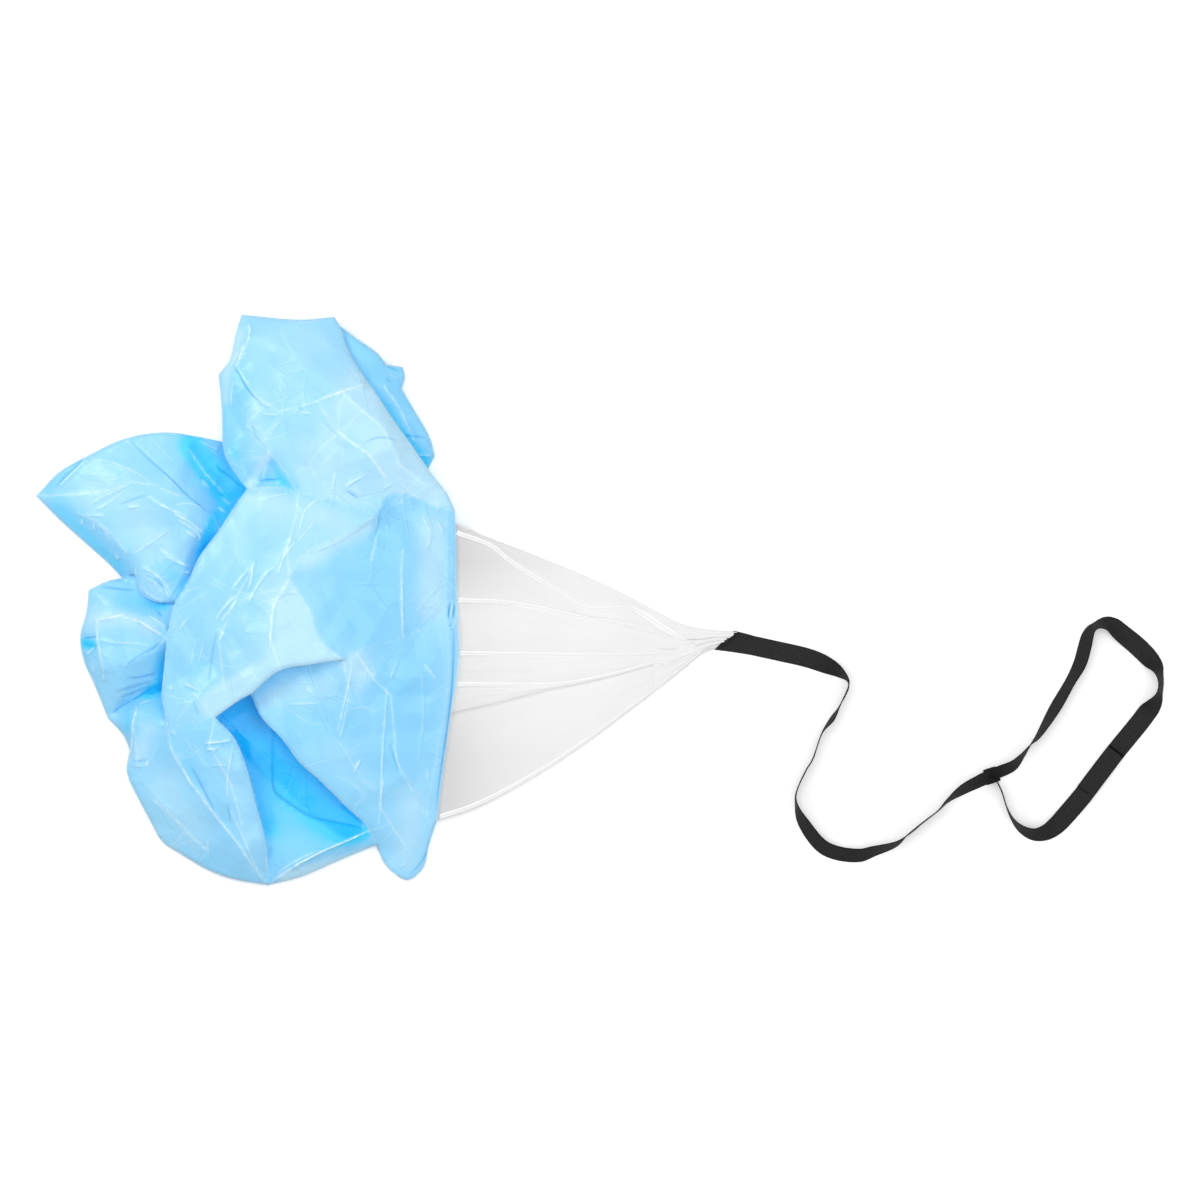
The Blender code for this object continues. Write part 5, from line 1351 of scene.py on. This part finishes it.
def close_corners(columns, skirt, verts, faces):
    # Where several turned edges meet, cloth closes the corner between them
    corners = {}
    for (one, two, key), line in columns.items():
        corners.setdefault(key, {}).setdefault(one, []).append((two, line))
        corners[key].setdefault(two, []).append((one, line[::-1]))
    for key, links in corners.items():
        ends = [name for name, found in links.items() if len(found) == 1]
        if len(ends) == 2 and (ends[0], key) not in skirt:
            continue
        first = ends[0] if ends else next(iter(links))
        loop, name, came = [], first, None
        while True:
            onward = [(n, line) for n, line in links[name] if n != came]
            if not onward:
                break
            came = name
            name, line = onward[0]
            loop += line[:-1]
            if name == first:
                break
        if ends:
            loop += skirt[name, key] + skirt[first, key][:0:-1]
        centre = len(verts)
        verts.append(np.mean([verts[i] for i in loop], axis=0))
        faces += [(a, b, centre) for a, b in zip(loop, loop[1:] + loop[:1])]


def lay_floor_layer(ring, verts, faces):
    # The layer on the floor, a little inside the outline
    base, middle, loop = len(verts), ring.mean(0), ring[::3]
    for place in loop:
        inward = middle - place
        place = place + inward / np.linalg.norm(inward) * LAYER_INSET
        verts.append(np.array([*place, LAYER_LEVEL]))
    count = len(loop)
    found = delaunay_2d_cdt([Vector(v[:2]) for v in verts[base:]],
                            [(i, (i + 1) % count) for i in range(count)], [], 1, 1e-7)
    for face in found[2]:
        picked = [found[3][i][0] for i in face if found[3][i]]
        if len(picked) == 3:
            faces.append(tuple(base + i for i in picked))


def deepen(mesh):
    # Painted shade: cloth that lies lower than what is round it gets a deeper blue, added to
    # the tones of layers and painted shade
    count = len(mesh.vertices)
    co = np.empty(count * 3)
    mesh.vertices.foreach_get("co", co)
    co = co.reshape(-1, 3)
    low = co[:, :2].min(0) - TONE_MARGIN
    size = ((co[:, :2].max(0) + TONE_MARGIN - low) / TONE_CELL).astype(int) + 2
    wide = np.zeros((size[0], size[1]))
    at = ((co[:, :2] - low) / TONE_CELL).astype(int)
    np.maximum.at(wide, (at[:, 0], at[:, 1]), co[:, 2])
    for _ in range(AROUND_ROUNDS):
        wide = (wide + np.roll(wide, 1, 0) + np.roll(wide, -1, 0)
                + np.roll(wide, 1, 1) + np.roll(wide, -1, 1)) / 5
    around = wide[at[:, 0], at[:, 1]]
    tone = np.empty(count)
    mesh.attributes["tone"].data.foreach_get("value", tone)
    lower = np.clip((around - co[:, 2] - LOW_START) / LOW_REACH, 0.0, 1.0) ** LOW_POWER
    deep = np.clip(MIDDLE_TONE + LOW_TONE * lower + LAYER_AND_SHADE_TONE * tone, *TONE_LIMITS)
    ends = np.empty(len(mesh.edges) * 2, dtype=np.int32)
    mesh.edges.foreach_get("vertices", ends)
    one, two = ends[0::2], ends[1::2]
    links = np.bincount(one, minlength=count) + np.bincount(two, minlength=count)
    for _ in range(TONE_ROUNDS):
        around = (np.bincount(one, weights=deep[two], minlength=count)
                  + np.bincount(two, weights=deep[one], minlength=count))
        deep = TONE_KEPT * deep + (1 - TONE_KEPT) * around / np.maximum(links, 1)
    add_values(mesh, "deep", deep)


def build_canopy():
    spacing = SPACING
    curves = chain_curves(spacing)
    lobes = [Lobe(name, form, curves) for name, form in LOBES.items()]
    levels = share_levels(lobes)
    outer = {(a,) for a, _ in OUTER_PAIRS}
    for a, b in OUTER_PAIRS:
        outer.update((a, b, k) for k in range(1, len(curves[a, b]) - 1))
    verts, faces, slots, tones, creases = [], [], [], [], []
    where = {}
    for lobe in lobes:
        lobe.fill(spacing)
        drops = edge_drops(lobe, levels, outer)
        lobe.shape(drops)
        start = len(verts)
        verts += [(x, y, z) for (x, y), z in zip(lobe.places, lobe.z)]
        for source, i in lobe.edge_of.items():
            where[lobe.name, lobe.keys[source]] = start + i
        faces += [tuple(start + i for i in face) for face in lobe.faces]
        slots += [1 if lobe.name.startswith("hem") else 0] * len(lobe.faces)
        tones += list(lobe.tone())
        creases += list(lobe.crease_lines(drops))
    verts = np.array(verts)
    ring = np.vstack([curves[a, b][:-1] for a, b in OUTER_PAIRS])
    far, _ = line_distance(verts[:, :2], np.vstack([ring, ring[:1]])[::2])
    fade = np.clip(far / CRUMPLE_FADE, CRUMPLE_LEAST, 1.0)
    for place, share in zip(verts, fade):
        place[2] = max(place[2] + crumple(place[0], place[1]) * share,
                       CLOTH_FLOOR + CRUMPLE_CLEARANCE)
    # Lobes that meet at one height share their tone there
    joined = {}
    for (name, key), i in where.items():
        joined.setdefault((key, round(verts[i][2], 4)), []).append(i)
    for group in joined.values():
        middle = sum(tones[i] for i in group) / len(group)
        for i in group:
            tones[i] = middle
    verts = list(verts)
    columns, skirt = join_lobes(lobes, verts, faces, where)
    close_corners(columns, skirt, verts, faces)
    lay_floor_layer(ring, verts, faces)
    piece = add_piece("canopy", verts, faces, [CANOPY_CLOTH, HEM_CLOTH])
    piece.data.polygons.foreach_set("material_index", slots + [0] * (len(faces) - len(slots)))
    for name, values in (("tone", tones), ("crease", creases)):
        add_values(piece.data, name, values + [0.0] * (len(verts) - len(values)))
    weld_and_face(piece)
    deepen(piece.data)
    return piece


canopy = build_canopy()
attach(canopy, "parachute")
CANOPY_NODES = [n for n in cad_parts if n.startswith("canopy_") or n.startswith("rim_hem")]
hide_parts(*CANOPY_NODES)


# Net skirt: its lines from the rim to the apex, by pixel
NET_LINES = {
    "edge": "452,522 464.7,528 532,554 610,586.7 655,610",
    "tape_1": "452.5,531 493,546.6 506,557.5 534,576 560,592 577.5,605 590.5,608.4"
              " 631.6,608.4 655,622",
    "tape_2": "453.5,600 501.5,602 534,607 582,617 625,624.7 655,633",
    "tape_3": "454.5,653 517,654 582,655 625,654 655,652.5",
    "tape_4": "452,684 510,684.5 560,684 625,671 655,661.5",
    "fold": "445,714 506,700.8 552,689 575,685 625,673 655,664",
    "tape_5": "434,821 473,809 523,784 582,747 625,715 655,692",
}
NET_STEPS = 150
NET_ACROSS = 26
# The net steps down beside the fold line, where a painted shadow makes it greyer
FOLD_STEP = 0.0009
FOLD_SIDES = ((0.0008, 0.01), (0.0020, 0.02))
FOLD_SHADOW_REACH = 0.0023
# The rim's height over the floor, by the pixel of the net's edge
RIM_LEVELS = {820: 0.0150, 770: 0.0200, 712: 0.0255, 684: 0.0270, 653: 0.0285, 524: 0.0290}
# How much greyer the net is painted: painted shadow beside the rim, painted shade with the
# doubled netting where two layers lie together above and below, greyer where it narrows towards
# the apex, and how far that reaches
RIM_SHADE = 0.36
UPPER_SHADE = 0.85
LOWER_SHADE = 0.55
APEX_SHADE = 0.15
SHADE_REACH = 0.075
UPPER_REACH = 0.12
FINE_STEPS = 24


def smooth_run(text, count):
    # Even places along a smooth line through the pixels
    knots = np.array(pixel_line(text))
    fine = []
    for i in range(len(knots) - 1):
        before = knots[i - 1] if i > 0 else None
        after = knots[i + 2] if i + 2 < len(knots) else None
        fine.append(curve_between(before, knots[i], knots[i + 1], after, FINE_STEPS)[:-1])
    fine = np.vstack(fine + [knots[-1:]])
    lengths = np.concatenate([[0], np.cumsum(np.linalg.norm(np.diff(fine, axis=0), axis=1))])
    want = np.linspace(0, lengths[-1], count + 1)
    return np.column_stack([np.interp(want, lengths, fine[:, 0]),
                            np.interp(want, lengths, fine[:, 1])])


def zero_to_one(value):
    return min(max(value, 0.0), 1.0)


def rim_level(y):
    # The rim's height beside a place of the net's edge
    down = [plan((0, pixel))[1] for pixel in RIM_LEVELS]
    return float(np.interp(y, down, list(RIM_LEVELS.values())))


def net_height(rim, run, part, seed):
    # The net falls from the rim to the floor, in long soft folds
    fall = (1 - run) ** 3
    soft = noise.noise(Vector((run * 3.0, part * 2.2 + seed, seed)))
    fine = noise.noise(Vector((run * 5.0, part * 8.0 + seed, seed * 1.7)))
    swell = math.sin(math.pi * part) * math.sin(math.pi * min(run * 1.02, 1.0))
    return (NET_FLOOR + (rim - NET_FLOOR) * fall
            + swell * (0.0022 + 0.0016 * soft) + 0.0006 * fine)


def net_shade(place):
    # Painted shade: the net is greyer near the rim, where the canopy shades it, and where two
    # layers lie together, with doubled netting there too; greyer towards the apex
    away = max(place[0] - plan((452, 0))[0], 0.0)
    upper = zero_to_one((place[1] + 0.02) / 0.08)
    lower = zero_to_one((-0.14 - place[1]) / 0.10)
    close = zero_to_one((place[0] - plan((590, 0))[0]) / 0.09)
    return (RIM_SHADE * math.exp(-away / SHADE_REACH)
            + UPPER_SHADE * upper * math.exp(-away / UPPER_REACH)
            + LOWER_SHADE * lower * math.exp(-away / SHADE_REACH) + APEX_SHADE * close)


def net_piece(name, verts, steps, shades):
    # A sheet of netting from steps + 1 rows of places
    faces = grid_faces(steps, len(verts) // (steps + 1))
    piece = add_piece(name, verts, faces, [NETTING], [v[:2] for v in verts])
    add_values(piece.data, "shade", shades)
    weld_and_face(piece)
    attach(piece, "parachute")
    return piece


def build_net():
    lines = {key: smooth_run(text, NET_STEPS) for key, text in NET_LINES.items()}
    panels = list(zip(lines, list(lines)[1:]))
    verts, shades = [], []
    for i in range(NET_STEPS + 1):
        run = i / NET_STEPS
        for n, (first, last) in enumerate(panels):
            a, b = lines[first][i], lines[last][i]
            wide = max(np.linalg.norm(b - a), 0.001)
            parts = [k / NET_ACROSS for k in range(NET_ACROSS)]
            if first == "fold":
                parts[1:1] = [min(side / wide, most) for side, most in FOLD_SIDES]
            if n == len(panels) - 1:
                parts.append(1.0)
            for part in parts:
                place = a + (b - a) * part
                start = lines[first][0] * (1 - part) + lines[last][0] * part
                tall = net_height(rim_level(start[1]), run, part, n + 1.0)
                grey = net_shade(place)
                if first == "fold" and part > 0:
                    tall -= FOLD_STEP
                # Painted shadow beside the fold's step
                if first == "fold" and part * wide < FOLD_SHADOW_REACH:
                    grey += 0.4 * (1 - 0.6 * run)
                verts.append((*place, tall))
                shades.append(grey)
    net = net_piece("net_skirt", verts, NET_STEPS, shades)
    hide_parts("net_panel_1", "net_panel_2", "net_panel_3", "net_panel_4",
                "net_panel_5", "net_under_layer", "net_gather")
    return net


# Gathered netting at the apex
GATHER_UPPER = "653,609.2 681.5,623.6 701,628.5 720,630.5 736.6,631.9"
GATHER_LOWER = "653,693.3 684,668.5 700,655 706,651.5 714,648.3"
GATHER_STEPS = 70
GATHER_ACROSS = 90
GATHER_FLOOR = NET_FLOOR - 0.0003
# Pleats of the gather: share across it at the net's end and at the leader,
# width in millimetres, height in millimetres
PLEATS = [(0.07, 0.06, 1.6, 0.9), (0.17, 0.16, 3.2, 1.6), (0.27, 0.30, 1.8, -0.9),
          (0.36, 0.38, 3.0, 1.2), (0.46, 0.50, 1.4, -0.8), (0.53, 0.60, 2.4, 1.2),
          (0.61, 0.70, 2.6, 1.8), (0.70, 0.79, 1.5, -1.0), (0.80, 0.88, 2.6, 1.3),
          (0.92, 0.95, 1.6, 0.9)]
# Painted shade in a pleat's hollow and painted light on its ridge
HOLLOW_SHADE = 1.7
RIDGE_HIGHLIGHT = -0.2
# How far the cut end's threads reach in and out over its last part
RAGGED = np.array([0.0130, -0.0030])


def build_gather():
    upper = smooth_run(GATHER_UPPER, GATHER_STEPS)
    lower = smooth_run(GATHER_LOWER, GATHER_STEPS)
    verts, shades = [], []
    for i, (first_place, last_place) in enumerate(zip(upper, lower)):
        run = i / GATHER_STEPS
        wide = np.linalg.norm(first_place - last_place)
        grown = min(run * 2.2, 1.0)
        for k in range(GATHER_ACROSS + 1):
            part = k / GATHER_ACROSS
            place = first_place + (last_place - first_place) * part
            place = place + RAGGED * max(run - 0.88, 0.0) * math.sin(
                part * 31 + 2.4 * math.sin(part * 13))
            round_over = math.sin(math.pi * part) ** 0.5
            # The folds start under the net's end, so no step shows there
            tall = GATHER_FLOOR + 0.0007 * min(run / 0.024, 1.0) + 0.0059 * run * round_over
            shade = APEX_SHADE
            for first, last, width, rise in PLEATS:
                middle = first + (last - first) * run + 0.015 * math.sin(run * 6 + first * 40)
                away = abs(part - middle) * wide / (width / 1000 * (1.1 - 0.45 * run))
                tall += rise / 1000 * grown * max(1 - away, 0.0)
                change = HOLLOW_SHADE if rise < 0 else RIDGE_HIGHLIGHT
                shade += change * grown * max(1 - away, 0.0)
            verts.append((*place, max(tall, GATHER_FLOOR)))
            shades.append(max(shade, 0.0))
    piece = net_piece("net_gather_folds", verts, GATHER_STEPS, shades)
    return piece


TAPE_LINES = {
    "seam_tape_1": "456.5,532.5 493,546.6 506,557.5 534,576 560,592 577.5,605 590.5,608.4"
                   " 631.6,608.4 644.7,615 664,628 686,640 700,643",
    "seam_tape_2": "458,600 501.5,602 534,607 582,617 625,624.7 660,634.4 686,641",
    "seam_tape_3": "459,653 517,654 582,655 640,654.5 668,652 695,646",
    "seam_tape_4": "456.5,684 510,684.5 560,684 625,671 655,663 671,664 690,656 706,648",
    "seam_tape_5": "440,816.5 472,806 522,781 581,744 624,712 659,686 683,666.5 701,652",
}
TAPE_START_WIDTH = 0.0072
TAPE_END_WIDTH = 0.0034
TAPE_THICKNESS = 0.0005
TAPE_GAP = 0.0001
TAPE_SECTION = ((1, 0), (0.8, 1), (-0.8, 1), (-1, 0))
# The middle, the reach and the extra width of the upper tape's flat stretch
FLAT_STRETCH = (0.0900, 0.040, 0.0042)


def ribbon(name, line, widths):
    # A flat tape laid along a line of places, with its own thickness
    verts, uvs = [], []
    run = 0.0
    line = np.array(line)
    for i, place in enumerate(line):
        step = line[min(i + 1, len(line) - 1)][:2] - line[max(i - 1, 0)][:2]
        side = np.array([-step[1], step[0]]) / max(np.linalg.norm(step), 1e-9)
        if i:
            run += np.linalg.norm(place[:2] - line[i - 1][:2])
        for across, up in TAPE_SECTION:
            spot = place[:2] + side * widths[i] / 2 * across
            verts.append((*spot, place[2] + up * TAPE_THICKNESS))
            uvs.append((across * widths[i] / 2, run))
    faces = tube_faces(len(line) - 1, len(TAPE_SECTION))
    piece = add_piece(name, verts, faces, [SEAM_TAPE], uvs)
    weld_and_face(piece)
    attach(piece, "parachute")
    return piece


def drape_tapes(surfaces):
    # Each tape lies on what is under it
    trees = [BVHTree.FromPolygons([v.co for v in surface.data.vertices],
                                  [p.vertices for p in surface.data.polygons])
             for surface in surfaces]
    for name, text in TAPE_LINES.items():
        line = []
        for place in smooth_run(text, NET_STEPS):
            hits = [tree.ray_cast(Vector((*place, 1.0)), Vector((0, 0, -1)))[0]
                    for tree in trees]
            line.append([*place, max([NET_FLOOR] + [hit.z for hit in hits if hit is not None])])
        levels = [p[2] for p in line]
        widths = []
        for i, place in enumerate(line):
            place[2] = max(levels[max(i - 2, 0):i + 3]) + TAPE_GAP
            width = TAPE_START_WIDTH + (TAPE_END_WIDTH - TAPE_START_WIDTH) * i / NET_STEPS
            if name == "seam_tape_1":
                # Its flat stretch before the apex shows its whole width
                middle, reach, extra = FLAT_STRETCH
                near = 1 - abs(place[0] - middle) / reach
                width += extra * zero_to_one(near * 2)
            widths.append(width)
        tape = ribbon(name, line, widths)
        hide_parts(name.replace("seam_tape", "net_tape"))


drape_tapes([build_net(), build_gather()])


# Webbing: the part's own routes, x, y in metres and the strap's roll in degrees
LEADER_ROUTE = [
    (0.1921, -0.0619, 0), (0.2198, -0.0666, 0), (0.2709, -0.0776, 0),
    (0.3174, -0.0882, 6), (0.3467, -0.0985, 25), (0.3717, -0.1116, 60),
    (0.3854, -0.1301, 90), (0.3717, -0.1628, 90), (0.3592, -0.1844, 78),
    (0.3436, -0.2061, 90), (0.3299, -0.2448, 90), (0.3182, -0.2650, 90),
    (0.3045, -0.2959, 90), (0.3041, -0.3161, 84), (0.3151, -0.3442, 56),
    (0.3389, -0.3765, 46), (0.3639, -0.3907, 44), (0.3994, -0.3953, 47),
    (0.4229, -0.3889, 58), (0.4569, -0.3783, 74), (0.4764, -0.3637, 90),
    (0.5002, -0.3442, 90), (0.5236, -0.3261, 88), (0.5389, -0.3101, 80),
    (0.5623, -0.2931, 60), (0.5901, -0.2789, 51), (0.6026, -0.2728, 51),
]
LONG_ROUTE = [
    (0.6034, -0.2718, 52), (0.6188, -0.2656, 53), (0.6384, -0.2569, 58),
    (0.6525, -0.2427, 74), (0.6680, -0.2226, 90), (0.6799, -0.2087, 104),
    (0.7052, -0.1667, 123), (0.7283, -0.1265, 120), (0.7432, -0.0987, 130),
    (0.7511, -0.0713, 131), (0.7551, -0.0564, 127), (0.7606, -0.0456, 117),
    (0.7674, -0.0397, 110), (0.7758, -0.0369, 119), (0.7858, -0.0366, 136),
    (0.7964, -0.0407, 150), (0.8094, -0.0518, 163), (0.8287, -0.0678, 173),
    (0.8428, -0.0810, 172), (0.8569, -0.0970, 150), (0.8659, -0.1122, 116),
    (0.8689, -0.1289, 106), (0.8662, -0.1455, 110), (0.8578, -0.1608, 142),
    (0.8477, -0.1740, 172), (0.8352, -0.1906, 179), (0.8170, -0.2129, 180),
    (0.7980, -0.2361, 180), (0.7763, -0.2642, 180), (0.7554, -0.2920, 180),
    (0.7508, -0.2986, 180),
]
SHORT_ROUTE = [
    (0.6040, -0.2760, 88), (0.6085, -0.2775, 90), (0.6148, -0.2809, 90),
    (0.6229, -0.2979, 90), (0.6297, -0.3197, 90), (0.6392, -0.3395, 83),
    (0.6533, -0.3544, 68), (0.6718, -0.3624, 52), (0.6908, -0.3593, 35),
    (0.7071, -0.3485, 18), (0.7220, -0.3329, 6), (0.7356, -0.3173, 0),
    (0.7416, -0.3100, 0), (0.7478, -0.3026, 0), (0.7531, -0.2956, 0),
]
# The sewn overlap where leader, long and short strap meet
JUNCTION_ROUTE = [(0.5960, -0.2748, 42), (0.6045, -0.2722, 40), (0.6165, -0.2680, 44)]
JUNCTION_THICKNESS = 0.0042
HINGE = (0.75323, -0.29544)
ALONG = (0.6002, 0.7998)
TAB_LENGTH = 0.077
TAB_LEVEL = 0.0063
# The short strap rises to the tab's level over its last part
RISE_START = 0.84
LEADER_OVERLAP = 0.003
# The leader's first end is cut at a slant, which fades out along it
LEADER_SLANT = 0.85
SLANT_REACH = 0.045
STRAP_SPACING = 0.003
SHADOW_LINE_SPACING = 0.001
SECTION = [(1.0, 0.0), (0.985, 0.42), (0.94, 0.5), (0.5, 0.5), (0.0, 0.5), (-0.5, 0.5),
           (-0.94, 0.5), (-0.985, 0.42), (-1.0, 0.0), (-0.985, -0.42), (-0.94, -0.5),
           (-0.5, -0.5), (0.0, -0.5), (0.5, -0.5), (0.94, -0.5), (0.985, -0.42)]


def rest_height(roll):
    return (STRAP_WIDTH * abs(math.sin(roll)) + STRAP_THICKNESS * abs(math.cos(roll))) / 2


def strap_path(route, level=None, spacing=STRAP_SPACING):
    knots = [np.array([*r[:2], math.radians(r[2])]) for r in route]
    fine = []
    for i in range(len(knots) - 1):
        p0, p1 = knots[max(i - 1, 0)], knots[i]
        p2, p3 = knots[i + 1], knots[min(i + 2, len(knots) - 1)]
        steps = max(int(np.linalg.norm(p2[:2] - p1[:2]) / spacing + 0.5), 1)
        for k in range(steps):
            t = k / steps
            fine.append(0.5 * (2 * p1 + (p2 - p0) * t + (2 * p0 - 5 * p1 + 4 * p2 - p3) * t ** 2
                               + (3 * p1 - p0 - 3 * p2 + p3) * t ** 3))
    fine.append(knots[-1])
    return [[x, y, rest_height(roll) + GAP if level is None else level, roll]
            for x, y, roll in fine]


def from_hinge(steps, side=0.0):
    # Flat places along the tab's direction, counted from the hinge
    return [(HINGE[0] + ALONG[0] * step - ALONG[1] * side,
             HINGE[1] + ALONG[1] * step + ALONG[0] * side, 0) for step in steps]


def strap_mesh(name, path, body="parachute", width=STRAP_WIDTH, thickness=STRAP_THICKNESS,
               material=WEBBING, slant=0.0):
    # The strap's section carried along its path, turned by the roll
    verts, uvs = [], []
    run = 0.0
    for i, (x, y, z, roll) in enumerate(path):
        before, after = path[max(i - 1, 0)], path[min(i + 1, len(path) - 1)]
        step = Vector((after[0] - before[0], after[1] - before[1], after[2] - before[2]))
        step.normalize()
        side = Vector((-step.y, step.x, 0.0)).normalized()
        up = step.cross(side)
        across = side * math.cos(roll) + up * math.sin(roll)
        normal = step.cross(across)
        if i:
            run += math.dist(path[i][:3], path[i - 1][:3])
        fade = max(1 - run / SLANT_REACH, 0.0) * slant
        for a, b in SECTION:
            spot = Vector((x, y, z)) + across * (a * width / 2) + normal * (b * thickness)
            spot.x += (spot.y - y) * fade
            verts.append(spot)
            uvs.append(((a + 1) / 2, run))
    faces = tube_faces(len(path) - 1, len(SECTION))
    piece = add_piece(name, verts, faces, [material], uvs)
    weld_and_face(piece)
    piece.data.shade_smooth()
    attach(piece, body)
    return piece


leader_path = strap_path(LEADER_ROUTE)
end, before = np.array(leader_path[-1]), np.array(leader_path[-2])
leader_path.append(list(end + (end - before) / np.linalg.norm(end - before) * LEADER_OVERLAP))
leader = strap_mesh("leader_webbing", leader_path, slant=LEADER_SLANT)
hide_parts("leader_strap")
leader_length = sum(math.dist(a[:3], b[:3]) for a, b in zip(leader_path, leader_path[1:]))
tuple(leader_path[0][:3])
[tuple(p[:3]) for p in leader_path]

long_strap = strap_mesh("belt_webbing_long", strap_path(LONG_ROUTE))
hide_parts("belt_long_strap")

strap_mesh("belt_junction_overlap", strap_path(JUNCTION_ROUTE), thickness=JUNCTION_THICKNESS)

short_path = strap_path(SHORT_ROUTE)
start = int(len(short_path) * RISE_START)
base_level = short_path[start][2]
for i in range(start, len(short_path)):
    part = (i - start) / (len(short_path) - 1 - start)
    short_path[i][2] = base_level + (TAB_LEVEL - base_level) * part * part * (3 - 2 * part)
short_strap = strap_mesh("belt_webbing_short", short_path)
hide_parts("belt_short_strap")

tab_route = from_hinge((GAP / 2, TAB_LENGTH / 2, TAB_LENGTH))
tab = strap_mesh("belt_tab_webbing", strap_path(tab_route, TAB_LEVEL), "belt_tab")
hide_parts("belt_tab")

# Black strips that paint the shadow lines at the tab's free end and where it leaves the strap.
# Name, body, steps from the hinge, shift to the side, shift up, width, thickness
SHADOW_LINES = [("tab_end_shadow_line", "belt_tab", (TAB_LENGTH - 0.0008, TAB_LENGTH + 0.0015), 0.0,
          -0.0002, 0.0285, 0.0030),
         ("belt_fold_shadow_line", "parachute", (-0.0027, -0.0017), 0.0050, 0.0002, 0.0185, 0.0020)]
for name, body, steps, shift, lift, width, thickness in SHADOW_LINES:
    shadow_line_path = strap_path(from_hinge(steps, shift), TAB_LEVEL + lift, SHADOW_LINE_SPACING)
    strap_mesh(name, shadow_line_path, body, width, thickness, SHADOW_LINE_BLACK)

for node, material in (("loop_patch", LOOP_PILE), ("hook_patch", HOOK_PILE)):
    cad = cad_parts[node]
    cad.data.materials.clear()
    cad.data.materials.append(material)

lengths = lambda box: [list(map(float, corner)) for corner in box]
{"cad": lengths(CAD_BOX), "visual": lengths(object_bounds())}
